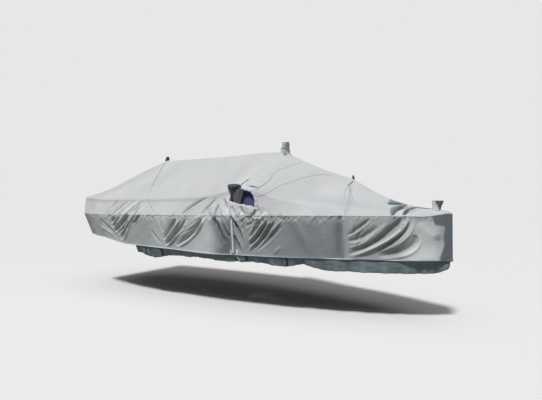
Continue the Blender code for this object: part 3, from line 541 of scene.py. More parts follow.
def grid_mesh(name, points, uv, seam=None, crease=None, drop=None, shade_and_grime=None, closed=False):
    """A mesh over a grid of points, its squares facing outward. Its UV map is in metres of cloth, seam holds
    each point's metres to the nearest sewn edge, crease holds the fold height that the finish turns into
    painted shade and highlight, the darkening attribute holds painted shade and painted light, and dropped
    squares are left open."""
    rows, width = points.shape[:2]
    number = np.arange(rows * width).reshape(rows, width)
    if closed:
        number = np.concatenate((number, number[:1]))
    squares = np.stack((number[:-1, :-1], number[1:, :-1], number[1:, 1:], number[:-1, 1:]), axis=-1)
    kept = squares.reshape(-1, 4) if drop is None else squares[~drop]
    used, faces = np.unique(kept, return_inverse=True)
    mesh = bpy.data.meshes.new(name)
    mesh.from_pydata(points.reshape(-1, 3)[used].tolist(), [], faces.reshape(-1, 4).tolist())
    layer = mesh.uv_layers.new(name="cloth")
    layer.data.foreach_set("uv", uv.reshape(-1, 2)[used][faces.ravel()].astype(np.float32).ravel())
    for label, values in (("seam", seam), ("crease", crease), ("shade_and_grime", shade_and_grime)):
        if values is not None:
            attribute = mesh.attributes.new(label, "FLOAT", "POINT")
            attribute.data.foreach_set("value", values.reshape(-1)[used].astype(np.float32))
    mesh.shade_smooth()
    piece = bpy.data.objects.new(name, mesh)
    bpy.context.scene.collection.objects.link(piece)
    return piece


def thicken(piece, thick):
    """Gives a sheet its thickness, inward from the surface."""
    solid = piece.modifiers.new("thickness", "SOLIDIFY")
    solid.thickness = thick
    solid.offset = -1
    return piece


def merge_rims(piece):
    """Joins the first and last rows and columns of a grid that closes on itself."""
    shape = bmesh.new()
    shape.from_mesh(piece.data)
    bmesh.ops.remove_doubles(shape, verts=shape.verts, dist=1e-6)
    bmesh.ops.recalc_face_normals(shape, faces=shape.faces)
    shape.to_mesh(piece.data)
    shape.free()


def put(tree, kind, inputs=(), **settings):
    """Adds a shader node, sets its properties and feeds its inputs with values or sockets."""
    node = tree.nodes.new(kind)
    for key, value in settings.items():
        setattr(node, key, value)
    for key, value in dict(inputs).items():
        if isinstance(value, bpy.types.NodeSocket):
            tree.links.new(value, node.inputs[key])
        else:
            node.inputs[key].default_value = value
    return node


def maths(tree, operation, first, second=0.0, third=0.0):
    """The output of one Math node."""
    return put(tree, "ShaderNodeMath", {0: first, 1: second, 2: third}, operation=operation).outputs[0]


def blend_colour(tree, factor, first, second, way="MIX"):
    """The colour output of one Mix node, whose sockets of one name are told apart by identifier."""
    node = put(tree, "ShaderNodeMix", data_type="RGBA", blend_type=way)
    sockets = {socket.identifier: socket for socket in node.inputs}
    for key, value in (("Factor_Float", factor), ("A_Color", first), ("B_Color", second)):
        if isinstance(value, bpy.types.NodeSocket):
            tree.links.new(value, sockets[key])
        else:
            sockets[key].default_value = value
    return [socket for socket in node.outputs if socket.identifier == "Result_Color"][0]


def effect(name, inputs, outputs):
    """An empty shader node group with named inputs (name, kind, value) and outputs (name, kind)."""
    group = bpy.data.node_groups.new(name, "ShaderNodeTree")
    for label, kind, value in inputs:
        socket = group.interface.new_socket(label, in_out="INPUT", socket_type="NodeSocket" + kind)
        socket.default_value = value
    for label, kind in outputs:
        group.interface.new_socket(label, in_out="OUTPUT", socket_type="NodeSocket" + kind)
    return group, put(group, "NodeGroupInput").outputs, put(group, "NodeGroupOutput").inputs


# Plain weave: the product of a sine across the warp and one across the weft.
WEAVE, given, result = effect("plain_weave", [("Threads per metre", "Float", 700.0)], [("Height", "Float")])
uv = put(WEAVE, "ShaderNodeUVMap", uv_map="cloth").outputs["UV"]
place = put(WEAVE, "ShaderNodeSeparateXYZ", {0: uv}).outputs
rate = maths(WEAVE, "MULTIPLY", given[0], 3.1416)
warp = maths(WEAVE, "SINE", maths(WEAVE, "MULTIPLY", place[0], rate))
weft = maths(WEAVE, "SINE", maths(WEAVE, "MULTIPLY", place[1], rate))
WEAVE.links.new(maths(WEAVE, "MULTIPLY_ADD", maths(WEAVE, "MULTIPLY", warp, weft), 0.5, 0.5), result[0])

# Crinkle: the fine hard creases of packed canvas, a ridged noise at two sizes.
CRINKLE, given, result = effect("crinkle", [("Per metre", "Float", 9.0)], [("Height", "Float")])
uv = put(CRINKLE, "ShaderNodeUVMap", uv_map="cloth").outputs["UV"]
total = 0.0
for share, times in ((0.65, 1.0), (0.35, 2.7)):
    scale = maths(CRINKLE, "MULTIPLY", given[0], times)
    noise = {"Vector": uv, "Scale": scale, "Detail": 3.0, "Distortion": 0.6}
    noise = put(CRINKLE, "ShaderNodeTexNoise", noise)
    ridged = maths(CRINKLE, "ABSOLUTE", maths(CRINKLE, "SUBTRACT", noise.outputs[0], 0.5))
    total = maths(CRINKLE, "MULTIPLY_ADD", ridged, -2.0 * share, total)
CRINKLE.links.new(maths(CRINKLE, "ADD", total, 1.0), result[0])

# Weathering and painted shade: slow patches of tone, rain streaks down the cloth, dust in specks. The crease
# attribute paints shade in the troughs of the folds and highlight on their ridges; the darkening attribute
# darkens and cools the cloth, mostly as painted shade, and below zero lightens it, partly as painted light.
DUST_COLOUR = (0.24, 0.235, 0.22, 1)
FOLD_SHADE_TONES = (0.74, 1.26)
WEATHER_AND_SHADE, given, result = effect(
    "weathering_and_shade",
    [("Colour", "Color", (0.5, 0.5, 0.5, 1)), ("Patches", "Float", 0.10), ("Dust", "Float", 0.2)],
    [("Colour", "Color"), ("Roughness shift", "Float")],
)
uv = put(WEATHER_AND_SHADE, "ShaderNodeUVMap", uv_map="cloth").outputs["UV"]
broad = put(WEATHER_AND_SHADE, "ShaderNodeTexNoise", {"Vector": uv, "Scale": 2.3, "Detail": 4.0}).outputs[0]
stretched = put(WEATHER_AND_SHADE, "ShaderNodeMapping", {"Vector": uv, "Scale": (9.0, 0.7, 1.0)}).outputs[0]
streak = put(WEATHER_AND_SHADE, "ShaderNodeTexNoise", {"Vector": stretched, "Scale": 1.6, "Detail": 3.0}).outputs[0]
tone = maths(WEATHER_AND_SHADE, "MULTIPLY_ADD", broad, 0.65, maths(WEATHER_AND_SHADE, "MULTIPLY", streak, 0.35))
tone = maths(WEATHER_AND_SHADE, "MULTIPLY_ADD", maths(WEATHER_AND_SHADE, "SUBTRACT", tone, 0.5), given["Patches"], 1.0)
# Painted shade and highlight: the fold troughs are darker and the ridges lighter
crease = put(WEATHER_AND_SHADE, "ShaderNodeAttribute", attribute_name="crease").outputs["Fac"]
fold_shade = maths(WEATHER_AND_SHADE, "MULTIPLY_ADD", crease, 9.0, 1.0)
fold_shade = maths(WEATHER_AND_SHADE, "MAXIMUM", maths(WEATHER_AND_SHADE, "MINIMUM", fold_shade, FOLD_SHADE_TONES[1]), FOLD_SHADE_TONES[0])
tone = maths(WEATHER_AND_SHADE, "MULTIPLY", tone, fold_shade)
# Painted shade from the darkening attribute, cooler in tint where it darkens; below zero it is painted light
shade_and_grime = put(WEATHER_AND_SHADE, "ShaderNodeAttribute", attribute_name="shade_and_grime").outputs["Fac"]
tone = maths(WEATHER_AND_SHADE, "MULTIPLY", tone, maths(WEATHER_AND_SHADE, "MULTIPLY_ADD", shade_and_grime, -0.40, 1.0))
shade_tint = maths(WEATHER_AND_SHADE, "MAXIMUM", maths(WEATHER_AND_SHADE, "MULTIPLY", shade_and_grime, tone), 0.0)
red, blue = (maths(WEATHER_AND_SHADE, "MULTIPLY_ADD", shade_tint, shift, tone) for shift in (-0.07, 0.07))
shade = put(WEATHER_AND_SHADE, "ShaderNodeCombineColor", {0: red, 1: tone, 2: blue}).outputs[0]
toned = blend_colour(WEATHER_AND_SHADE, 1.0, given["Colour"], shade, "MULTIPLY")
speck = {"Vector": uv, "Scale": 26.0, "Detail": 5.0, "Roughness": 0.7}
speck = put(WEATHER_AND_SHADE, "ShaderNodeTexNoise", speck).outputs[0]
dirt = maths(WEATHER_AND_SHADE, "MULTIPLY", maths(WEATHER_AND_SHADE, "SUBTRACT", speck, 0.48), 4.0)
dirt = maths(WEATHER_AND_SHADE, "MULTIPLY", maths(WEATHER_AND_SHADE, "MAXIMUM", maths(WEATHER_AND_SHADE, "MINIMUM", dirt, 1.0), 0.0), broad)
dirt = maths(WEATHER_AND_SHADE, "MULTIPLY", dirt, given["Dust"])
WEATHER_AND_SHADE.links.new(blend_colour(WEATHER_AND_SHADE, dirt, toned, DUST_COLOUR), result["Colour"])
shift = maths(WEATHER_AND_SHADE, "MULTIPLY", maths(WEATHER_AND_SHADE, "SUBTRACT", broad, 0.5), 0.16)
WEATHER_AND_SHADE.links.new(shift, result["Roughness shift"])

# Stitching: two rows of thread that dip into the cloth, 6 and 14 mm inside a sewn edge.
STITCH_ROWS = (0.006, 0.014)
STITCH, given, result = effect(
    "stitching",
    [("Stitch length", "Float", 0.005)],
    [("Mask", "Float"), ("Height", "Float")],
)
uv = put(STITCH, "ShaderNodeUVMap", uv_map="cloth").outputs["UV"]
place = put(STITCH, "ShaderNodeSeparateXYZ", {0: uv}).outputs
edge = put(STITCH, "ShaderNodeAttribute", attribute_name="seam").outputs["Fac"]
rows_mask = 0.0
for inside in STITCH_ROWS:
    away = maths(STITCH, "ABSOLUTE", maths(STITCH, "SUBTRACT", edge, inside))
    row = maths(STITCH, "MAXIMUM", maths(STITCH, "MULTIPLY_ADD", away, -900.0, 1.0), 0.0)
    rows_mask = maths(STITCH, "ADD", row, rows_mask)
beat = maths(STITCH, "DIVIDE", maths(STITCH, "ADD", place[0], place[1]), given[0])
beat = maths(STITCH, "MULTIPLY_ADD", maths(STITCH, "SINE", maths(STITCH, "MULTIPLY", beat, 6.283)), 0.5, 0.5)
mask = maths(STITCH, "MULTIPLY", rows_mask, beat)
STITCH.links.new(mask, result["Mask"])
STITCH.links.new(maths(STITCH, "SUBTRACT", mask, rows_mask), result["Height"])


def cloth_finish(name, colour, roughness, threads=700.0, patches=0.10, dust=0.2, crinkle=0.35):
    """A woven finish: weathered colour with painted shade and highlight from the fold and darkening
    attributes, darker thread over it, and a bump of weave, crinkle and stitches."""
    finish = bpy.data.materials.new(name)
    finish.use_nodes = True
    tree = finish.node_tree
    shader = tree.nodes["Principled BSDF"]
    weathered_and_shaded = put(tree, "ShaderNodeGroup", node_tree=WEATHER_AND_SHADE)
    weathered_and_shaded.inputs["Colour"].default_value = (*colour, 1)
    weathered_and_shaded.inputs["Patches"].default_value = patches
    weathered_and_shaded.inputs["Dust"].default_value = dust
    sewn = put(tree, "ShaderNodeGroup", node_tree=STITCH)
    thread = tuple(part * 0.75 for part in colour)
    painted = blend_colour(tree, sewn.outputs["Mask"], weathered_and_shaded.outputs["Colour"], (*thread, 1))
    tree.links.new(painted, shader.inputs["Base Color"])
    tree.links.new(maths(tree, "ADD", weathered_and_shaded.outputs["Roughness shift"], roughness), shader.inputs["Roughness"])
    weave = put(tree, "ShaderNodeGroup", node_tree=WEAVE)
    weave.inputs["Threads per metre"].default_value = threads
    crumpled = put(tree, "ShaderNodeGroup", node_tree=CRINKLE)
    bump = put(tree, "ShaderNodeBump", {"Height": weave.outputs[0], "Strength": 0.25, "Distance": 0.0004})
    layers = ((sewn.outputs["Height"], 0.6, 0.0012), (crumpled.outputs[0], crinkle, 0.012))
    for height, strength, distance in layers:
        over = {"Height": height, "Strength": strength, "Distance": distance, "Normal": bump.outputs[0]}
        bump = put(tree, "ShaderNodeBump", over)
    tree.links.new(bump.outputs[0], shader.inputs["Normal"])
    shader.inputs["Sheen Weight"].default_value = 0.1
    shader.inputs["Sheen Roughness"].default_value = 0.6
    shader.inputs["Specular IOR Level"].default_value = 0.35
    finish.diffuse_color = (*colour, 1)
    return finish


def dress(piece, finish, slot, *nodes):
    """Gives a piece its finish, hides the nodes that it stands for, and joins it to its body; slot is not
    used.
    """
    piece.data.materials.append(finish)
    if nodes:
        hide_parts(*nodes)
    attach(piece, "root")
    return piece


canvas = cloth_finish("canvas", (0.54, 0.555, 0.56), 0.78)
COLLAR_AFT = 2.68        # the hole for the tall collar: its place on the ridge, and its radius
COLLAR_HOLE = 0.055
# Node, fore seam, aft seam, length for the grid, flat size, flat area
ROOFS = (
    ("roof_bow", "nose", "forward", 1.46, (1.50, 1.46), 1.45),
    ("roof_fore", "forward", "middle", 1.50, (2.90, 1.76), 3.70),
    ("roof_main", "middle", "aft", 2.40, (3.10, 2.92), 7.30),
    ("roof_aft", "aft", "transom", 1.70, (2.85, 2.15), 5.20),
)
# Painted shadows in the folds of the bow roof: levels, their fore edge and aft edge there, and strength
BOW_FOLD_SHADOWS = (
    (
        (0.0, 0.05, 0.15, 0.35, 0.75, 1.72),
        (0.20, 0.23, 0.28, 0.44, 0.54, 0.565),
        (0.36, 0.45, 0.52, 0.565, 0.594, 0.594),
        2.3,
    ),
    (
        (0.0, 0.035, 0.10, 0.20, 0.30),
        (0.62, 0.649, 0.705, 0.770, 0.837),
        (0.85, 0.85, 0.85, 0.85, 0.85),
        2.1,
    ),
    (
        (0.10, 0.25, 0.40, 0.65, 1.20, 1.80),
        (0.60, 0.622, 0.648, 0.679, 0.698, 0.708),
        (0.632, 0.689, 0.738, 0.79, 0.755, 0.735),
        2.1,
    ),
)
# Painted light on the upper wall aft of the tall collar: aft, how much
LIT_WALL = ((1.9, 2.25, 2.5, 2.7), (0, 0.35, 0.70, 1.0))   # aft, how much


def fade_in(value, start, width):
    """0 up to the start, 1 past start + width, and straight between them; a width below zero runs
    the other way."""
    return np.clip((value - start) / width, 0, 1)


def roof_shade_and_light(aft, level, hung):
    """How much the roof cloth is darkened: painted shade in the troughs of the bow roof's folds and painted
    shadows in its deep folds, a band a little darker just above the knuckle of the fore panel, and, as a
    negative, painted light on the upper wall aft of the tall collar."""
    depth = np.abs(level)
    # Painted shade in the troughs of the bow roof's folds
    shade_and_grime = 0.4 * np.clip(-hung / 0.018, 0, 1.5) * fade_in(aft, 1.0, -0.1)
    # Painted shadows in the bow roof's deep folds
    for levels, fore_edge, aft_edge, strength in BOW_FOLD_SHADOWS:
        start, end = np.interp(depth, levels, fore_edge), np.interp(depth, levels, aft_edge)
        inside = fade_in(aft, start - 0.012, 0.008) * fade_in(aft, end + 0.012, -0.012)
        inside = inside * ((depth <= levels[-1] + 0.05) & (depth >= levels[0] - 0.05))
        fade = 1 - 0.45 * fade_in(aft, start, 0.10)
        shade_and_grime = np.maximum(shade_and_grime, strength * inside * fade)
    # A band a little darker just above the knuckle of the fore panel
    dust = 0.22 * np.exp(-((depth - 0.85) / 0.18) ** 2) * fade_in(aft, 2.2, -0.3) * fade_in(aft, 0.9, 0.2)
    # Painted light: the upper wall aft of the tall collar made paler
    wall_light = fade_in(depth, 1.06, 0.25) * np.interp(aft, *LIT_WALL)
    return shade_and_grime + dust - 0.95 * wall_light


ROOF_STEP = 0.016
UNSEWN = 9               # metres to an edge that has no seam
roof_down = np.concatenate((
    np.linspace(-RIDGE_DOWN, -0.37, 52),
    np.linspace(-0.352, -0.035, 29),
    (-0.026, -0.019, -0.014, -0.006, 0.0),
))
roof_level = np.interp(roof_down, (-RIDGE_DOWN, -RUN["upper"], 0), (0, 1, 2))
roof_level = np.concatenate((-roof_level[:0:-1], roof_level))[None, :]


def way_of(places, levels):
    """UV places of the cloth: metres aft, and metres down from the ridge, signed for the side."""
    return np.stack((places, np.sign(levels) * (down_of(levels) + RIDGE_DOWN)), axis=-1)


for name, fore, aft_seam, run, flat, area in ROOFS:
    share = steps_between(run, ROOF_STEP)[:, None]
    if fore == "nose":
        rounded = (1 - np.cos(np.linspace(0, 1.57, 8))) * NOSE / run
        share = np.concatenate((rounded[:, None], share[len(LAP_STEPS):]))
    places, levels = np.broadcast_arrays(between(fore, aft_seam, share, roof_level), roof_level)
    along = np.minimum(share * run + (UNSEWN if fore == "nose" else 0), (1 - share) * run)
    edge = np.minimum(along, -down_of(levels))
    places, levels = fit_opening(places, levels)
    lap = CANVAS_THICK / 2 + 0.0014 * fade_in(along, 0.018, -0.004)
    shape = skin(places, levels, lap)
    middle_aft = (places[:-1, :-1] + places[1:, 1:]) / 2
    middle_level = (levels[:-1, :-1] + levels[1:, 1:]) / 2
    from_ridge = middle_level * across("knuckle_half", middle_aft)
    hole = np.hypot(middle_aft - COLLAR_AFT, from_ridge) < COLLAR_HOLE
    open_here = in_opening(middle_aft, middle_level) | hole
    hung = relief(places, levels)
    shade_and_grime = roof_shade_and_light(places, levels, hung)
    piece = grid_mesh(name + "_cloth", shape, way_of(places, levels), edge, hung, open_here, shade_and_grime)
    dress(thicken(piece, CANVAS_THICK), canvas, "canvas", name)


# ---------------------------------------------------------------------------------------------
# The transom panel. One piece of the same canvas that closes the stern, sewn to the roof along
# its top and to the skirts along its sides; it hangs a little slack between them.

rows = np.concatenate((np.linspace(0.02, 1, 32), np.linspace(1, 2, 12)[1:], np.linspace(2, 3, 24)[1:]))
rows = rows[None, :]
rim = skin(LENGTH, rows)
share = np.linspace(0, 1, 90)[:, None, None]
stern = rim * np.array((1, -1, 1)) * (1 - share) + rim * share
share, rows = np.broadcast_arrays(share[..., 0], rows)
across_y = stern[..., 1]
belly = 0.010 * np.sin(np.pi * share) * np.sin(np.pi * rows / 3)
ripple = 0.004 * np.sin(across_y * 9 + 2.0 * rows) * np.sin(np.pi * share) ** 0.5 * np.sin(np.pi * rows / 3)
drag = 0.006 * np.exp(-((np.abs(across_y) - 0.30 * (3.1 - rows)) / 0.05) ** 2)
drag = drag * np.sin(np.pi * np.clip(rows - 1.2, 0, 1.6) / 1.6)
stern[..., 0] = STEM_X - LENGTH + 0.004 - belly - ripple + drag
edge = np.minimum(np.minimum(share, 1 - share) * 2 * np.abs(rim[..., 1]), down_of(3) - down_of(rows))
ways = np.stack((across_y, stern[..., 2]), axis=-1)
transom = thicken(grid_mesh("transom_cloth", stern, ways, edge, -belly), CANVAS_THICK)
dress(transom, canvas, "canvas", "transom_panel")


# ---------------------------------------------------------------------------------------------
# The skirts. The same canvas, its colour a shade darker as painted shade, since they hang upright, away from
# the light from above; one panel fore and one aft on each side. They are sewn to the roof along the sheer
# seam and drawn down by the straps at the hem, which drags them into long slanting folds.

SIDES = {"starboard": 1, "port": -1}
# Painted shade: the canvas's colour made darker for the upright skirts
skirt_canvas = cloth_finish("skirt_canvas", (0.40, 0.425, 0.43), 0.80, patches=0.16, dust=0.35)
skirt_down = np.concatenate((LAP_STEPS, np.linspace(0.028, 0.582, 53), (0.592, 0.602, RUN["skirt"])))
skirt_level = (2 + skirt_down / RUN["skirt"])[None, :]

# How much paler the cloth is from bow to stern, and the edge of the nose's painted shadow at each place down
SKIRT_PALER = (
    (0.0, 0.75, 1.0, 1.3, 1.4, 3.40, 3.55, 4.6, 4.9, 5.5, 5.7, 6.93),
    (0.0, 0.15, 0.5, 0.3, 0.0, 0.00, 1.30, 1.2, 0.5, 0.6, 1.4, 1.50),
)
NOSE_EDGE = (
    (0.0, 0.13, 0.16, 0.20, 0.30, 0.40, 0.61),
    (0.24, 0.20, 0.09, 0.08, 0.10, 0.09, 0.16),
)


def skirt_shade_and_light(aft, down):
    """How much the cloth is darkened, and below zero lightened: painted shade in the middle of the fore
    panel, which turns in aft of the fore seam, painted shadow in the hollow aft of the side strap and at the
    nose, whose edge has a notch below the sheer; painted light behind the nose, where the bow's skirt faces
    the light, and paler under the sheer seam and in stretches from bow to stern."""
    # Painted shade in the middle of the fore panel, which turns in aft of the fore seam
    middle = fade_in(aft, 1.34, 0.03) * np.exp(-(np.maximum(aft - 2.1, 0) / 0.35) ** 2)
    middle = middle * (0.85 + 0.4 * np.exp(-((aft - 1.4) / 0.12) ** 2))
    # Painted shadow in the hollow aft of the side strap
    hollow = 1.25 * np.exp(-np.abs((aft - 3.22) / 0.16) ** 3) * fade_in(down, -0.02, 0.15)
    wear_and_shade = np.maximum(0.8 * middle * np.clip(0.55 + 0.8 * down, 0, 1), hollow)
    # Painted light behind the nose, where the bow's skirt faces the light
    pale = 0.9 * np.exp(-np.abs((aft - 0.34) / 0.26) ** 4) * fade_in(down, 0, 0.1)
    pale = pale + 0.4 * np.exp(-((aft - 3.76) / 0.24) ** 2 - ((down - 0.40) / 0.25) ** 2)
    pale = pale + np.interp(aft, *SKIRT_PALER)
    pale = pale + 0.8 * np.exp(-(down / 0.08) ** 2) * fade_in(aft, 0.5, 0.3)
    # Painted shadow at the nose
    nose = 1.45 * fade_in(aft, np.interp(down, *NOSE_EDGE), -0.02)
    nose = nose + 0.5 * np.exp(-((aft - 0.168) ** 2 + (down - 0.295) ** 2) / 0.0012)
    return np.where(nose > 0.1, np.maximum(wear_and_shade, nose), wear_and_shade - pale)


def for_side(side, levels):
    """A row of levels made signed for one side, running the way that keeps faces outward."""
    return levels if side > 0 else -levels[:, ::-1]


nose_places = -NOSE * np.cos(np.linspace(0, np.pi / 2, 9))[:, None]
SKIRT_SEAM = 3.065
SKIRT_STEP = 0.0112
SKIRTS = (
    ("skirt_fore", 0, SKIRT_SEAM, (0.72, 3.30), 2.25),
    ("skirt_aft", SKIRT_SEAM, LENGTH, (0.68, 4.00), 2.38),
)
for word, side in SIDES.items():
    for name, start, end, flat, area in SKIRTS:
        places = start + (end - start) * steps_between(end - start, SKIRT_STEP)[:, None]
        if start == 0:
            places = np.concatenate((nose_places, places[len(LAP_STEPS):]))
        places, levels = np.broadcast_arrays(places, for_side(side, skirt_level))
        down = down_of(levels)
        edge = np.minimum(down, end - places)
        if start > 0:
            edge = np.minimum(edge, places - start)
        above_hem = down_of(3) - down
        edge = np.minimum(edge, np.abs(above_hem - 0.004))
        shape = skin(places, levels, 0.0030 * fade_in(above_hem, 0.024, -0.008) - CANVAS_THICK / 2)
        piece = grid_mesh(name + "_cloth_" + word, shape, way_of(places, levels), edge,
                          relief(places, levels), shade_and_grime=skirt_shade_and_light(places, down))
        dress(thicken(piece, CANVAS_THICK), skirt_canvas, "skirt_canvas", name + "_" + word)


# ---------------------------------------------------------------------------------------------
# The lower bands. A darker, softer cloth below the hem on each side, which tucks in below and
# stops short of the stern. It hangs loose under the straps, so its foot ripples.

BAND_END = 5.30
BAND_THICK = 0.0010


def band_lift(aft, level, side):
    """How far the band stands off: behind the hem by 5 mm, then ripples of two wave lengths, whose
    places wander, growing toward its foot."""
    part = np.clip(np.abs(level) - 3, 0, 1)
    ripple = np.sin(ROUND * aft / 0.29 + 1.9 * np.sin(aft * 2.1) + side)
    ripple = ripple + 0.55 * np.sin(ROUND * aft / 0.117 + 2.6 * np.sin(aft * 3.3))
    ends = fade_in(aft, -NOSE, 0.15)
    return -0.0042 * np.clip(1 - 6 * part, 0, 1) - 0.0015 + 0.009 * part * ripple * ends


band_cloth = cloth_finish("band_cloth", (0.235, 0.305, 0.335), 0.82, threads=520.0, patches=0.30,
                          dust=0.45, crinkle=0.6)
for word, side in SIDES.items():
    places = np.concatenate((nose_places, np.linspace(0, BAND_END, 330)[1:, None]))
    levels = for_side(side, np.linspace(2.975, 4.0, 14)[None, :])
    places, levels = np.broadcast_arrays(places, levels)
    part = np.clip(np.abs(levels) - 3, 0, 1)
    lift = band_lift(places, levels, side)
    shape = skin(places, levels, lift)
    drawn_back = 0.034 * np.clip(6 * part, 0, 1) + 0.03 * part ** 4
    shape[..., 0] -= drawn_back * fade_in(places, 0.14, -0.16)
    edge = 0.1 - 0.094 * (part > 0.97)
    piece = grid_mesh("band_cloth_" + word, shape, way_of(places, levels), edge, lift)
    dress(thicken(piece, BAND_THICK), band_cloth, "band_cloth", "hull_band_" + word)


# ---------------------------------------------------------------------------------------------
# The closing flaps. The roof is slit from the tall collar to the side opening so that the cover can
# be put on; a wide flap of canvas, sewn along the slit and held by hook tape, closes it. Its free
# fore edge is cut by eye and wanders.

# Level, fore edge, aft edge
FLAP = (
    (0.035, 2.345, 2.790),
    (0.130, 2.363, 2.800),
    (0.250, 2.455, 2.822),
    (0.390, 2.536, 2.858),
    (0.480, 2.590, 2.884),
    (0.601, 2.611, 2.918),
    (0.700, 2.604, 2.945),
    (0.781, 2.612, 2.966),
    (0.880, 2.650, 2.988),
    (0.955, 2.684, 3.000),
)


def sew_on(name, places, levels, lift, finish, slot, nodes, flat,
           thick=CANVAS_THICK, edge=0.02, shade_and_grime=0.0):
    """Sews a thickened sheet onto the cloth over places and levels, lifted off the hung cloth, dressed with
    its finish, hiding the nodes that it stands for and joined to its body; slot and flat, the cut size, are
    not used.
    """
    places, levels = np.broadcast_arrays(places, levels)
    none = 0 * places
    piece = grid_mesh(name, skin(places, levels, lift), way_of(places, levels), edge + none, none,
                      shade_and_grime=shade_and_grime + none)
    dress(thicken(piece, thick), finish, slot, *nodes)


FLAP_WIDE = 0.36
flap_level, flap_fore, flap_aft = np.array(FLAP).T
for word, side in SIDES.items():
    rows = for_side(side, np.linspace(flap_level[0], flap_level[-1], 74)[None, :])
    depth = np.abs(rows)
    start, end = (np.interp(depth, flap_level, column) for column in (flap_fore, flap_aft))
    share = steps_between(FLAP_WIDE, ROOF_STEP)[:, None]
    places = start + (end - start) * share
    edge = np.minimum(share, 1 - share) * (end - start)
    lip = 0.0075 * np.exp(-((1 - share) * (end - start) / 0.018) ** 2)
    pillow = 0.0030 * np.sin(np.pi * share)
    bunch = np.sin(62 * depth + 5 * share + 1.5 * np.sin(11 * depth)) + 0.6 * np.sin(97 * depth - 7 * share)
    bunch = 0.0056 * (bunch + 1.5) * fade_in(depth, 0.30, 0.35)
    bunch = bunch * np.sin(np.pi * np.clip(share, 0.02, 0.98)) ** 0.7
    sew_on("closing_flap_" + word, places, rows, 0.0024 + lip + pillow + bunch, canvas, "canvas",
           ["closure_" + word], (FLAP_WIDE, 1.18), edge=edge)


# ---------------------------------------------------------------------------------------------
# Seam covers. Narrow bias tape of grey canvas sewn over the seams that the panels' laps leave open to rain;
# its grey, a little darker than the canvas, is painted shade for the shadow line along each seam. Where a
# seam is pulled open, by the fore tab, down the aft seam and at the lower end of the closing flap, a
# near-black tape lies in it as painted shadow of the gap.

# Painted shade: the grey of the seam lines
seam_shade_grey = cloth_finish("seam_shade_grey", (0.46, 0.47, 0.475), 0.85, threads=900.0, patches=0.12,
                         dust=0.1, crinkle=0.1)
# Painted shadow: the near-black strip in the open gaps
slit_shadow_tape = cloth_finish("slit_shadow_tape", (0.115, 0.12, 0.125), 0.9, threads=600.0, patches=0.12,
                         dust=0.3, crinkle=0.2)
# Name, finish, width, lift off the cloth, and the path as aft and level
SEAM_TAPES = (
    ("aft_seam", seam_shade_grey, 0.011, 0.0022, (
        (5.588, 0.012), (5.543, 0.105), (5.440, 0.320), (5.330, 0.536), (5.190, 0.750), (5.040, 0.965),
    )),
    ("aft_slit", slit_shadow_tape, 0.010, 0.0022, (
        (5.560, 0.070), (5.440, 0.318), (5.330, 0.534), (5.240, 0.680),
    )),
    ("fore_slit", slit_shadow_tape, 0.016, 0.0022, ((1.428, 0.060), (1.448, 0.150), (1.474, 0.250))),
    ("fore_slit_end", slit_shadow_tape, 0.010, 0.0022, ((1.474, 0.250), (1.442, 0.330), (1.408, 0.425))),
    ("fore_seam", seam_shade_grey, 0.012, 0.0022, (
        (1.474, 0.255), (1.402, 0.436), (1.357, 0.541), (1.333, 0.771), (1.323, 1.252), (1.333, 1.832),
    )),
    ("fore_dart", seam_shade_grey, 0.010, 0.0022, (
        (1.488, 0.310), (1.476, 0.526), (1.412, 0.911), (1.366, 1.400), (1.347, 1.842),
    )),
    ("long_seam", seam_shade_grey, 0.010, 0.0022, (
        (1.780, 0.110), (1.917, 0.145), (2.040, 0.240), (2.145, 0.360), (2.270, 0.540),
        (2.400, 0.741), (2.470, 0.900), (2.530, 1.070), (2.600, 1.190), (2.672, 1.280),
    )),
    ("flap_slit", slit_shadow_tape, 0.013, 0.0110, ((2.938, 0.800), (2.965, 0.870), (2.988, 0.946))),
    ("flap_hem", seam_shade_grey, 0.010, 0.0052, (
        (2.606, 0.640), (2.614, 0.760), (2.636, 0.860), (2.664, 0.930), (2.695, 1.010),
    )),
    ("facing_seam", seam_shade_grey, 0.010, 0.0022, (
        (2.905, 0.880), (2.820, 0.935), (2.745, 1.030), (2.695, 1.250), (2.650, 1.480), (2.625, 1.750),
    )),
)


def along_path(corners, count):
    """Places on a smooth path through corners: cubic steps whose slope at each corner is half the way
    between its neighbours."""
    corners = np.array(corners, float)
    slope = np.gradient(corners, axis=0)
    at = np.linspace(0, len(corners) - 1, count)
    k = np.minimum(at.astype(int), len(corners) - 2)
    t = (at - k)[:, None]
    a, b, m, n = corners[k], corners[k + 1], slope[k], slope[k + 1]
    return (a * (1 + 2 * t) + m * t) * (1 - t) ** 2 + (b * (3 - 2 * t) - n * (1 - t)) * t * t


def ribbon_on(side, path, width, columns):
    """Places and signed levels across a ribbon on the cloth: a step square to the path and along the
    cloth, resolved into steps aft and steps of level by the two slopes of the plain surface."""
    aft, level = path.T
    slope_aft = (plain(aft + 0.005, level) - plain(aft - 0.005, level)) / 0.01
    slope_level = (plain(aft, level + 0.01) - plain(aft, level - 0.01)) / 0.02
    square = unit(np.cross(outward(aft, level), np.gradient(plain(aft, level), axis=0)))
    aa = (slope_aft * slope_aft).sum(axis=-1)
    al = (slope_aft * slope_level).sum(axis=-1)
    ll = (slope_level * slope_level).sum(axis=-1)
    sa, sl = ((square * slope).sum(axis=-1) for slope in (slope_aft, slope_level))
    offset = np.linspace(0.5, -0.5, columns)[None, :] * width / (aa * ll - al * al)[:, None]
    places = aft[:, None] + (ll * sa - al * sl)[:, None] * offset
    levels = level[:, None] + (aa * sl - al * sa)[:, None] * offset
    return (places if side > 0 else places[:, ::-1]), for_side(side, levels)


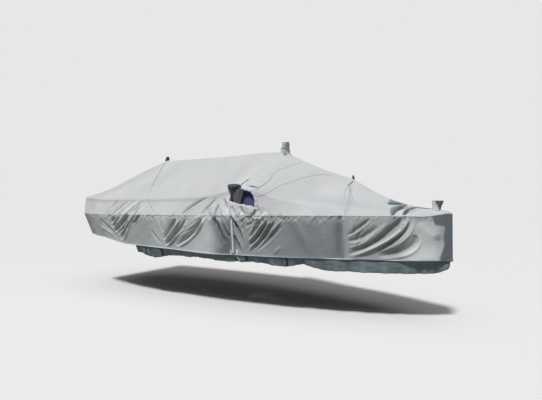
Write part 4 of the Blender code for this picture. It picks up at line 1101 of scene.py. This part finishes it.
def run_of(places, levels):
    """Metres along the middle of a ribbon: the sum of its steps over the hung cloth."""
    middle = places.shape[1] // 2
    steps = np.diff(skin(places[:, middle], levels[:, middle]), axis=0)
    return round(float(np.linalg.norm(steps, axis=-1).sum()), 3)


for word, side in SIDES.items():
    for name, finish, width, lift, corners in SEAM_TAPES:
        places, levels = ribbon_on(side, along_path(corners, 90), width, 4)
        sew_on(name + "_tape_" + word, places, levels, lift, finish, "canvas", [],
               (width, run_of(places, levels)))


# ---------------------------------------------------------------------------------------------
# The side straps. Below each side opening the fore and aft skirts lap over each other; a pale
# polyester strap is sewn down the lap, pulled taut over the folds, and buckled below the hem.

# Aft and level along its middle
STRAP = (
    (3.160, 1.30), (3.150, 1.45), (3.134, 1.65), (3.112, 1.85), (3.096, 2.08), (3.086, 2.50), (3.078, 2.97),
)
STRAP_WIDTH = 0.032
pale_tape = cloth_finish("pale_tape", (0.80, 0.82, 0.84), 0.70, threads=900.0, patches=0.10,
                         dust=0.25, crinkle=0.12)
for word, side in SIDES.items():
    places, levels = ribbon_on(side, along_path(STRAP, 70), STRAP_WIDTH, 5)
    taut = 0.010 - 0.55 * np.minimum(relief(places, levels), 0)
    crown = 0.0020 * np.cos(np.linspace(-1.2, 1.2, 5))[None, :]
    sew_on("side_strap_" + word, places, levels, taut + crown, pale_tape, "pale_tape",
           ["side_strip_" + word], (STRAP_WIDTH, run_of(places, levels)))


# ---------------------------------------------------------------------------------------------
# The hem. The skirts' lower edge is turned up over a line and stitched, so it makes a firm bead of the same
# cloth, paler than the skirt, from the nose to the stern overhang; painted shade darkens it except in the
# stretches where its highlights fall.

hem_cloth = cloth_finish("hem_cloth", (0.72, 0.745, 0.75), 0.75, patches=0.20, dust=0.25, crinkle=0.3)
# Aft, how much painted shade
HEM_SHADE = (
    (0, 0.5, 0.7, 0.85, 1.2, 1.3, 1.5, 1.7, 2.4, 3.4, 5.4, 5.7, 6.93),
    (2.0, 2.0, 0, 1.9, 1.9, 0, 0, 1.7, 0.9, 0.2, 0, 1.2, 1.6),
)
turn = np.linspace(-1.9, 1.9, 9)
for word, side in SIDES.items():
    places = np.concatenate((nose_places, np.linspace(0, LENGTH, 520)[1:, None]))
    rows = for_side(side, (3.0 + 0.016 * np.sin(turn))[None, :])
    bead = 0.0060 * np.cos(turn)
    wear_and_shade = 0.55 + 0.45 * np.sin(places * 2.2 + 0.6) * np.sin(places * 5.1)
    # Painted shade along the bead, from the table above
    sew_on("hem_bead_" + word, places, rows, 0.0034 + bead * (0.75 + 0.4 * wear_and_shade), hem_cloth,
           "skirt_canvas", [], (0.026, 7.0), thick=0.0010, shade_and_grime=np.interp(places, *HEM_SHADE))


# ---------------------------------------------------------------------------------------------
# The bindings. A broad white facing is sewn round the fore edge of each side opening, where it
# chafes; it is widest at its top.

# Inner edge's aft and height above the sheer seam, and the outer edge's
BINDING = (
    (2.710, 0.105, 2.640, 0.095),
    (2.703, 0.160, 2.640, 0.160),
    (2.708, 0.240, 2.662, 0.255),
    (2.733, 0.320, 2.690, 0.345),
    (2.778, 0.376, 2.738, 0.415),
    (2.840, 0.400, 2.815, 0.470),
    (2.905, 0.411, 2.910, 0.505),
    (2.945, 0.424, 2.985, 0.522),
)
white_facing = cloth_finish("white_facing", (0.60, 0.62, 0.67), 0.6, threads=1000.0, patches=0.08,
                            dust=0.12, crinkle=0.25)
for word, side in SIDES.items():
    path = along_path(BINDING, 60)
    share = np.linspace(0, 1, 8)[None, ::side]
    places = path[:, :1] * (1 - share) + path[:, 2:3] * share
    height = path[:, 1:2] * (1 - share) + path[:, 3:4] * share
    puckered = (1 + 0.7 * np.sin(np.linspace(0, 44, 60)))[:, None]
    puff = 0.0030 + 0.0055 * np.sin(np.pi * share) * puckered
    edge = np.minimum(share, 1 - share) * 0.06
    sew_on("binding_" + word, places, side * level_at(places, height), puff, white_facing, "pale_tape",
           ["shroud_binding_" + word], (0.08, 0.58), edge=edge)


# ---------------------------------------------------------------------------------------------
# The inner flaps. A curtain of dark blue cloth hangs inside the fore half of each opening from the roof's
# underside, and keeps rain from blowing in. Its very dark colour is partly painted shade, for the shaded
# inside seen through the opening.

# Painted shade in part: the curtain's very dark blue stands for the shaded inside of the opening
blue_cloth = cloth_finish("blue_cloth", (0.085, 0.105, 0.235), 0.85, threads=600.0, patches=0.25,
                          dust=0.1, crinkle=0.5)
CURTAIN_FORE, CURTAIN_LONG = 2.63, 0.46
CURTAIN_TOP, CURTAIN_FOOT = 0.84, 1.80      # levels
for word, side in SIDES.items():
    share = np.linspace(0, 1, 44)[:, None]
    rows = for_side(side, np.linspace(CURTAIN_TOP, CURTAIN_FOOT, 56)[None, :])
    places = CURTAIN_FORE + CURTAIN_LONG * share + 0 * rows
    fall = (np.abs(rows) - CURTAIN_TOP) / (CURTAIN_FOOT - CURTAIN_TOP)
    wave = np.sin(21 * share + 3.2 * fall + side) + 0.5 * np.sin(47 * share + 1.0)
    inward = 0.012 + 0.050 * np.sin(np.pi * np.clip(fall * 1.5, 0, 0.5)) + 0.009 * fall * wave
    sew_on("inner_flap_" + word, places, rows, -inward - relief(places, rows), blue_cloth, "blue_cloth",
           ["shroud_flap_" + word], (CURTAIN_LONG, 0.42))


# ---------------------------------------------------------------------------------------------
# The side sleeves. A tube of dark cloth stands out through each side opening; its top is turned
# down into a roll, which lies on the wall above the opening and hides the tube's end.

sleeve_cloth = cloth_finish("sleeve_cloth", (0.135, 0.135, 0.155), 0.85, threads=520.0, patches=0.35,
                            dust=0.5, crinkle=0.7)
dark_cloth = cloth_finish("dark_cloth", (0.085, 0.100, 0.125), 0.85, threads=520.0, patches=0.35,
                          dust=0.4, crinkle=0.7)
# Height above the sheer seam, aft, half sizes along and across, and how far outside the wall
SLEEVE = (
    (0.130, 3.010, 0.062, 0.040, -0.070),
    (0.200, 3.020, 0.072, 0.046, -0.060),
    (0.270, 3.018, 0.086, 0.048, -0.048),
    (0.350, 3.010, 0.100, 0.046, -0.030),
    (0.430, 3.005, 0.108, 0.044, -0.012),
)
ROLL_CENTRE = (3.085, 0.474)     # metres aft, height above the sheer seam
ROLL_SIZE = (0.078, 0.044)       # half sizes of the ring along and across
ROLL_TUBE = (0.025, 0.040)       # half sizes of the tube across and up
SLEEVE_BOX = 2.6                 # 2 would make its rings oval, and more makes them squarer
SLEEVE_WALL_AFT = 3.05


def wall_half(height):
    """Half width of the upper wall beside the sleeve, at a height above the sheer seam."""
    low, high = across("sheer", SLEEVE_WALL_AFT), across("knuckle", SLEEVE_WALL_AFT)
    wide, narrow = across("sheer_half", SLEEVE_WALL_AFT), across("knuckle_half", SLEEVE_WALL_AFT)
    return wide + (narrow - wide) * (height - low) / (high - low)


sleeve_height, *sleeve_rings = np.array(SLEEVE).T
for word, side in SIDES.items():
    height = np.linspace(sleeve_height[0], sleeve_height[-1], 30)[None, :]
    aft, long, short, out = (np.interp(height, sleeve_height, column) for column in sleeve_rings)
    turn = np.linspace(0, 2 * np.pi, 96, endpoint=False)[:, None]
    crease = 0.0045 * np.sin(7 * turn + 14 * height) + 0.0030 * np.sin(13 * turn - 31 * height)
    box = (np.abs(np.cos(turn)) ** SLEEVE_BOX + np.abs(np.sin(turn)) ** SLEEVE_BOX) ** (-1 / SLEEVE_BOX)
    x = STEM_X - aft + (long * box + crease) * np.cos(turn)
    y = -side * (wall_half(height) + out + (short * box + crease) * np.sin(turn))
    shape = np.stack((x, y, height - RIDGE + 0 * turn + 0.004 * np.sin(3 * turn)), axis=-1)
    ways = np.stack((turn * 0.09 + 0 * height, height + 0 * turn), axis=-1)
    if side > 0:
        shape, ways = shape[::-1], ways[::-1]
    sleeve = grid_mesh("sleeve_" + word, shape, ways, 0.05 + 0 * x, crease * 0.6, closed=True)
    dress(thicken(sleeve, CANVAS_THICK), sleeve_cloth, "dark_cloth", "shroud_sleeve_" + word)

    # The roll: a ring whose round section wanders, as a cuff rolled by hand does
    turn = np.linspace(0, 2 * np.pi, 110)[:, None]
    tube = np.linspace(0, 2 * np.pi, 40)[None, :]
    normal = unit(np.stack((np.cos(turn) / ROLL_SIZE[0], np.sin(turn) / ROLL_SIZE[1]), axis=-1))
    winding = 1 + 0.07 * np.sin(3 * tube + 2 * turn) + 0.05 * np.sin(9 * turn + 1.3)
    winding = winding + 0.03 * np.sin(17 * turn - 2 * tube)
    outer = ROLL_TUBE[0] * np.cos(tube) * winding
    x = STEM_X - ROLL_CENTRE[0] + ROLL_SIZE[0] * np.cos(turn) + normal[..., 0] * outer
    y = ROLL_SIZE[1] * np.sin(turn) + normal[..., 1] * outer
    y = -side * (wall_half(ROLL_CENTRE[1]) + 0.012 + y)
    z = ROLL_CENTRE[1] - RIDGE + ROLL_TUBE[1] * np.sin(tube) * winding + 0.004 * np.cos(turn)
    shape = np.stack((x, y, z), axis=-1)
    ways = np.stack((turn * 0.07 + 0 * tube, tube * 0.035 + 0 * turn), axis=-1)
    if side < 0:
        shape, ways = shape[::-1], ways[::-1]
    roll = grid_mesh("roll_" + word, shape, ways, 0.05 + 0 * x, 0.06 * (winding - 1.03))
    merge_rims(roll)
    dress(roll, dark_cloth, "dark_cloth", "shroud_roll_" + word)


# ---------------------------------------------------------------------------------------------
# The tall collar. A short tube of the roof's canvas sewn round the hole in the ridge, gathered in
# folds and tied. The tie is a pale cord wound twice and knotted, with its two ends hanging.

COLLAR_TALL = 0.178
# Height above the ridge, radius, depth of the crumples
COLLAR = (
    (0.002, 0.112, 0.001),
    (0.003, 0.094, 0.003),
    (0.012, 0.078, 0.005),
    (0.030, 0.068, 0.006),
    (0.055, 0.063, 0.005),
    (0.074, 0.0570, 0.0022),
    (0.092, 0.0600, 0.004),
    (0.120, 0.0620, 0.007),
    (0.150, 0.0610, 0.006),
    (COLLAR_TALL, 0.0590, 0.007),
)
collar_cloth = cloth_finish("collar_cloth", (0.56, 0.57, 0.59), 0.8, patches=0.45, dust=0.6, crinkle=0.9)


def read_rows(table, count):
    """The columns of a table, each read at even steps from its first row to its last."""
    share = np.linspace(0, len(table) - 1, count)[None, :]
    return [np.interp(share, np.arange(len(table)), column) for column in np.array(table).T]


def around_foot(middle, under_aft, y, above, rise):
    """Points of a tube of cloth that stands on the roof: its foot follows the roof, and above it the
    rings level out, mixed by rise from 0 at the foot to 1."""
    lying = skin(under_aft, -y / across("knuckle_half", under_aft))[..., 2]
    flat = across("ridge", np.array(middle)) - RIDGE
    return np.stack((STEM_X - under_aft, y, lying * (1 - rise) + flat * rise + above), axis=-1)


turn = np.linspace(0, 2 * np.pi, 128, endpoint=False)[:, None]
above, radius, crumple = read_rows(COLLAR, 50)
folds = 0.6 * np.sin(13 * turn + 30 * above) + 0.4 * np.sin(21 * turn - 55 * above)
folds = folds + 0.35 * np.sin(7 * turn + 90 * above)
rim = (above / COLLAR_TALL) ** 4 * (0.006 * np.sin(2 * turn + 1) + 0.003 * np.sin(5 * turn))
reach = radius + crumple * folds
shape = around_foot(COLLAR_AFT, COLLAR_AFT - reach * np.cos(turn), reach * np.sin(turn), above + rim,
                    fade_in(above, 0, 0.06))
ways = np.stack((turn * 0.065 + 0 * above, above + 0 * turn), axis=-1)
# Darker on its fore side and in bands up the collar
darkened = 0.75 * np.cos(turn - 0.2) + 0.9 * np.sin(4 * turn + 45 * above) * np.sin(60 * above + 1) + 0.35
collar = grid_mesh("mast_collar_cloth", shape, ways, 0.05 + 0 * folds, 0.9 * crumple * folds,
                   shade_and_grime=np.clip(darkened, -0.3, 1.6), closed=True)
dress(thicken(collar, CANVAS_THICK), collar_cloth, "canvas", "mast_collar")

cord_finish = cloth_finish("cord", (0.50, 0.49, 0.46), 0.7, threads=1500.0, patches=0.3,
                           dust=0.5, crinkle=0.2)
CORD_ENDS = np.array((0, 0.7, 0.95))     # the first three rings' share of the radius


def carried(name, path, radius, sides=10):
    """A round cord: a circle carried along a path, on two directions square to it, its ends closed
    by rings that shrink to a point."""
    along = unit(np.gradient(path, axis=0))
    first = unit(np.cross(along, np.array((0.31, 0.17, 0.93))))
    second = np.cross(along, first)
    turn = np.linspace(0, 2 * np.pi, sides + 1)[None, :, None]
    wide = np.full(len(path), radius)
    wide[:3] = radius * CORD_ENDS
    wide[-3:] = radius * CORD_ENDS[::-1]
    circle = first[:, None] * np.cos(turn) + second[:, None] * np.sin(turn)
    shape = path[:, None] + wide[:, None, None] * circle
    run = np.concatenate(((0,), np.linalg.norm(np.diff(path, axis=0), axis=1).cumsum()))
    ways = np.stack(np.broadcast_arrays(run[:, None], turn[..., 0] * radius), axis=-1)
    cord = grid_mesh(name, shape, ways, np.full(shape.shape[:2], 0.05))
    merge_rims(cord)
    return cord


KNOT_TURN = np.radians(215)          # where the knot sits round the collar, from the bow
TIE_ABOVE, TIE_RADIUS, TIE_ROUND = 0.074, 0.004, 0.0645
TIE_STEPS = 60
collar_x, collar_z = STEM_X - COLLAR_AFT, float(across("ridge", np.array(COLLAR_AFT))) - RIDGE
# Out from the collar, round it, and above the ridge
KNOT_START = (
    (0.034, 0.026, 0.006), (0.026, 0.020, 0.030), (0.014, 0.012, 0.062), (0.008, 0.006, 0.078),
)
KNOT_END = (
    (0.006, -0.006, 0.076), (0.014, 0.004, 0.068), (0.018, 0.012, 0.078), (0.012, 0.006, 0.086),
    (0.008, -0.006, 0.080), (0.016, -0.012, 0.070), (0.022, -0.020, 0.045), (0.030, -0.030, 0.016),
)


def by_knot(corners):
    """Places near the knot: metres out from the collar, round it, and above the roof's ridge."""
    out, round_way, above = np.array(corners).T
    angle = KNOT_TURN + round_way / TIE_ROUND
    reach = TIE_ROUND + out
    return np.stack((collar_x + reach * np.cos(angle), reach * np.sin(angle), collar_z + above), axis=-1)


winding = KNOT_TURN + np.linspace(0.15, 4 * np.pi - 0.15, TIE_STEPS)
height = TIE_ABOVE + np.linspace(-0.0048, 0.0048, TIE_STEPS) + 0.0015 * np.sin(3 * winding)
x, y = collar_x + TIE_ROUND * np.cos(winding), TIE_ROUND * np.sin(winding)
rings = np.stack((x, y, collar_z + height), axis=-1)
route = np.concatenate((by_knot(KNOT_START), rings, by_knot(KNOT_END)))
dress(carried("mast_tie", along_path(route, 420), TIE_RADIUS), cord_finish, "webbing", "mast_collar_tie")


# ---------------------------------------------------------------------------------------------
# The bow collar. A funnel of dark cloth, wider at its top, stands on the bow roof; a pale flap, cut
# aslant, wraps it from the stern.

FUNNEL_AFT = 0.18
# Height above the ridge, the middle's aft, half sizes along and across
FUNNEL = (
    (0.002, 0.176, 0.040, 0.034),
    (0.010, 0.170, 0.032, 0.028),
    (0.040, 0.166, 0.036, 0.034),
    (0.080, 0.162, 0.050, 0.044),
    (0.128, 0.158, 0.062, 0.052),
)
WRAP = (
    (0.002, 0.196, 0.058, 0.042),
    (0.020, 0.196, 0.056, 0.042),
    (0.060, 0.194, 0.058, 0.046),
    (0.100, 0.190, 0.062, 0.052),
    (0.134, 0.188, 0.066, 0.057),
)
WRAP_LEAN = (2.70, 1.10)         # how far it reaches round either way at its foot and its top
FUNNEL_RINGS = 26


def funnel(table, turn):
    """Rings of an oval funnel, its table read by rows, crumpled a little: rows of turn by height."""
    above, aft, long, wide = read_rows(table, FUNNEL_RINGS)
    crumple = 1 + 0.045 * np.sin(5 * turn + 25 * above) + 0.03 * np.sin(11 * turn - 40 * above)
    shape = around_foot(FUNNEL_AFT, aft - long * crumple * np.cos(turn), wide * crumple * np.sin(turn),
                        above, fade_in(above, 0, 0.05))
    return shape, above + 0 * turn


funnel_cloth = cloth_finish("funnel_cloth", (0.17, 0.205, 0.235), 0.85, threads=520.0, patches=0.6,
                            dust=0.5, crinkle=0.8)
turn = np.linspace(0, 2 * np.pi, 90, endpoint=False)[:, None]
shape, above = funnel(FUNNEL, turn)
ways = np.stack((turn * 0.05 + 0 * above, above), axis=-1)
bow_funnel = grid_mesh("forestay_funnel", shape, ways, 0.05 + 0 * above, closed=True)
dress(thicken(bow_funnel, CANVAS_THICK), funnel_cloth, "dark_cloth", "forestay_collar")

share = np.linspace(-1, 1, 60)[:, None]
shape, above = funnel(WRAP, np.pi + share * np.linspace(*WRAP_LEAN, FUNNEL_RINGS)[None, :])
ways = np.stack((share * 0.12 + 0 * above, above), axis=-1)
edge = (1 - np.abs(share)) * 0.12 + 0 * above
wrap = grid_mesh("forestay_wrap", shape, ways, edge, shade_and_grime=np.full(edge.shape, -1.2))
dress(thicken(wrap, CANVAS_THICK), canvas, "canvas")


# ---------------------------------------------------------------------------------------------
# The lifting tabs. Loops of black polyester webbing sewn over the ridge for a lifting line, both
# pressed flat; the fold at the top is thicker than the strap.

webbing = cloth_finish("webbing", (0.035, 0.036, 0.044), 0.75, threads=420.0, patches=0.3,
                       dust=0.35, crinkle=0.15)
# Height above the ridge, fore and aft edge, half the thickness
TABS = {
    "fore_tab": (
        (-0.004, 1.410, 1.466, 0.0050), (0.014, 1.418, 1.460, 0.0062), (0.040, 1.427, 1.452, 0.0075),
        (0.052, 1.431, 1.449, 0.0085), (0.060, 1.435, 1.445, 0.0050), (0.062, 1.438, 1.442, 0.0001),
    ),
    "aft_tab": (
        (-0.004, 5.506, 5.645, 0.0050), (0.020, 5.514, 5.634, 0.0062), (0.050, 5.522, 5.620, 0.0075),
        (0.070, 5.528, 5.612, 0.0085), (0.079, 5.534, 5.604, 0.0050), (0.082, 5.542, 5.596, 0.0001),
    ),
}
for name, rows in TABS.items():
    above, fore, aft, half = read_rows(rows, 24)
    turn = np.linspace(0, 2 * np.pi, 49)[:, None]
    place = (fore + aft) / 2 - (aft - fore) / 2 * np.sign(np.cos(turn)) * np.abs(np.cos(turn)) ** 0.45
    ridge = across("ridge", place) - RIDGE
    y = half * np.sign(np.sin(turn)) * np.abs(np.sin(turn)) ** 0.6 + 0.0015 * np.sin(60 * above)
    shape = np.stack((STEM_X - place, y, ridge + above + 0 * turn), axis=-1)
    ways = np.stack((place, above + 0 * turn), axis=-1)
    tab = grid_mesh(name + "_loop", shape, ways, 0.006 + 0.02 * np.abs(np.sin(turn)) + 0 * above)
    merge_rims(tab)
    dress(tab, webbing, "webbing", name)


# ---------------------------------------------------------------------------------------------
# Straps over the bands. Four short lengths of black webbing on each side are sewn below the hem
# and hang over the band, where they are pulled down and inward.

HANGERS = ((2.20, 0.030), (2.86, 0.030), (4.62, 0.035), (5.02, 0.035))     # aft, width
HANGER_TOP, HANGER_FOOT = 3.05, 3.88        # levels
for word, side in SIDES.items():
    for number, (aft, width) in enumerate(HANGERS, 1):
        share = np.linspace(-0.5, 0.5, 7)[:, None]
        levels = for_side(side, np.linspace(HANGER_TOP, HANGER_FOOT, 26)[None, :])
        swing = 0.012 * np.sin(3 * np.abs(levels) + number)
        places = aft + width * share + swing
        lift = band_lift(places, levels, side) + 0.0040
        run = (HANGER_FOOT - HANGER_TOP) * np.interp(aft, BAND_AFT, BAND_DROP)
        sew_on(f"hanger_{number}_strap_{word}", places, levels, lift, webbing, "webbing",
               [f"hanger_{number}_{word}"], (width, round(float(run), 3)), edge=0.006)


# ---------------------------------------------------------------------------------------------
# The buckles. Two off-white ladder buckles at the foot of each side strap, moulded with a bar in
# the middle; a webbing tail hangs from the fore one over the band.

buckle_finish = bpy.data.materials.new("buckle_plastic")
buckle_finish.use_nodes = True
tree = buckle_finish.node_tree
plastic = tree.nodes["Principled BSDF"].inputs
weathered_and_shaded = put(tree, "ShaderNodeGroup", node_tree=WEATHER_AND_SHADE)
weathered_and_shaded.inputs["Colour"].default_value = (0.80, 0.81, 0.83, 1)
weathered_and_shaded.inputs["Dust"].default_value = 0.6
uv = put(tree, "ShaderNodeUVMap", uv_map="cloth").outputs[0]
grain = put(tree, "ShaderNodeTexNoise", {"Vector": uv, "Scale": 900.0})
dimple = put(tree, "ShaderNodeBump", {"Height": grain.outputs[0], "Strength": 0.15, "Distance": 0.0003})
tree.links.new(weathered_and_shaded.outputs["Colour"], plastic["Base Color"])
tree.links.new(dimple.outputs[0], plastic["Normal"])
plastic["Roughness"].default_value = 0.42
BUCKLES_AFT = (3.012, 3.122)
BUCKLE_HALF = 0.018
BUCKLE_TOP, BUCKLE_FOOT = 2.895, 2.985      # levels
BUCKLE_SLOTS = (2.919, 2.961)               # their middles' levels
BUCKLE_STRAP, TAIL_WIDTH = 0.022, 0.018
# Aft and level along its middle
TAIL = ((3.030, 2.99), (3.022, 3.20), (3.000, 3.45), (2.975, 3.72))
for word, side in SIDES.items():
    for number, aft in enumerate(BUCKLES_AFT, 1):
        long = np.linspace(-1, 1, 13)[:, None]
        rows = for_side(side, np.linspace(BUCKLE_TOP, BUCKLE_FOOT, 19)[None, :])
        places = aft + BUCKLE_HALF * long * (1 - 0.06 * np.cos(np.linspace(-1.5, 1.5, 19))[None, :])
        slot_long = np.abs((long[1:] + long[:-1]) / 2) < 0.68
        centre = np.abs(rows[:, 1:] + rows[:, :-1]) / 2
        slots = np.any([np.abs(centre - level) < 0.0125 for level in BUCKLE_SLOTS], axis=0)
        shape = skin(places, rows, 0.0085 + 0.002 * np.cos(1.4 * long) + 0 * rows)
        ways = np.stack((places, rows * RUN["skirt"] + 0 * places), axis=-1)
        buckle = grid_mesh(f"ladder_{number}_{word}", shape, ways, 0.05 + 0 * places, drop=slot_long & slots)
        thicken(buckle, 0.0045)
        round_off = buckle.modifiers.new("rounding", "BEVEL")
        round_off.width = 0.0010
        round_off.segments = 2
        dress(buckle, buckle_finish, "buckle", f"buckle_{number}_{word}")
        path = np.stack((np.full(24, aft), np.linspace(2.86, 3.0, 24)), axis=-1)
        places, levels = ribbon_on(side, path, BUCKLE_STRAP, 5)
        sew_on(f"buckle_strap_{number}_{word}", places, levels, 0.0115, pale_tape, "pale_tape", [],
               (BUCKLE_STRAP, run_of(places, levels)))
    places, levels = ribbon_on(side, along_path(TAIL, 40), TAIL_WIDTH, 5)
    lift = band_lift(places, levels, side) + 0.006 + 0.016 * np.linspace(0, 1, 40)[:, None] ** 2
    sew_on("strap_tail_" + word, places, levels, lift, pale_tape, "pale_tape", [],
           (TAIL_WIDTH, run_of(places, levels)))


# ---------------------------------------------------------------------------------------------
# The studio: pale floor, a wide soft light overhead, a soft key toward the bow, and the camera.

FLOOR_Z, FLOOR_HALF = -2.6, 40
# What the camera sees of floor and sky is brighter than what they send back to the cloth: how much
# is added for the camera, and what the cloth gets
FLOOR_WHITE = (0.56, 0.20)
SKY_WHITE = (0.72, 0.08)
corners = [(x * FLOOR_HALF, y * FLOOR_HALF, FLOOR_Z) for x, y in ((-1, -1), (1, -1), (1, 1), (-1, 1))]
floor_mesh = bpy.data.meshes.new("floor")
floor_mesh.from_pydata(corners, [], [(0, 1, 2, 3)])
floor = bpy.data.objects.new("floor", floor_mesh)
bpy.context.scene.collection.objects.link(floor)
floor_finish = bpy.data.materials.new("floor")
floor_finish.use_nodes = True
tree = floor_finish.node_tree
seen = put(tree, "ShaderNodeLightPath").outputs["Is Camera Ray"]
chalk = tree.nodes["Principled BSDF"].inputs
tree.links.new(maths(tree, "MULTIPLY_ADD", seen, *FLOOR_WHITE), chalk["Base Color"])
chalk["Roughness"].default_value = 0.9
floor_mesh.materials.append(floor_finish)

world = bpy.data.worlds.new("studio")
world.use_nodes = True
sky = world.node_tree
sky.nodes["Background"].inputs["Color"].default_value = (1.0, 1.0, 1.0, 1)
seen = put(sky, "ShaderNodeLightPath").outputs["Is Camera Ray"]
sky.links.new(maths(sky, "MULTIPLY_ADD", seen, *SKY_WHITE), sky.nodes["Background"].inputs["Strength"])
bpy.context.scene.world = world


def soft_sun(name, azimuth, height, angle, strength):
    """A wide sun that shines from an azimuth round +Z, from the bow, and a height, in degrees."""
    lamp = bpy.data.lights.new(name, "SUN")
    lamp.angle = np.radians(angle)
    lamp.energy = strength
    light = bpy.data.objects.new(name, lamp)
    light.rotation_euler = np.radians((0, 90 - height, azimuth))
    bpy.context.scene.collection.objects.link(light)


soft_sun("key", -84, 62, 9, 2.75)
soft_sun("overhead", -60, 82, 80, 0.8)

camera_data = bpy.data.cameras.new("camera")
camera_data.sensor_width = 36
camera_data.sensor_fit = "HORIZONTAL"
camera_data.lens = 26.57
camera = bpy.data.objects.new("camera", camera_data)
camera.location = (4.716, -6.194, -0.9527)
camera.rotation_euler = np.radians((90.716, 0, 31.0))
bpy.context.scene.collection.objects.link(camera)
bpy.context.scene.camera = camera
bpy.context.scene.view_settings.view_transform = "Standard"
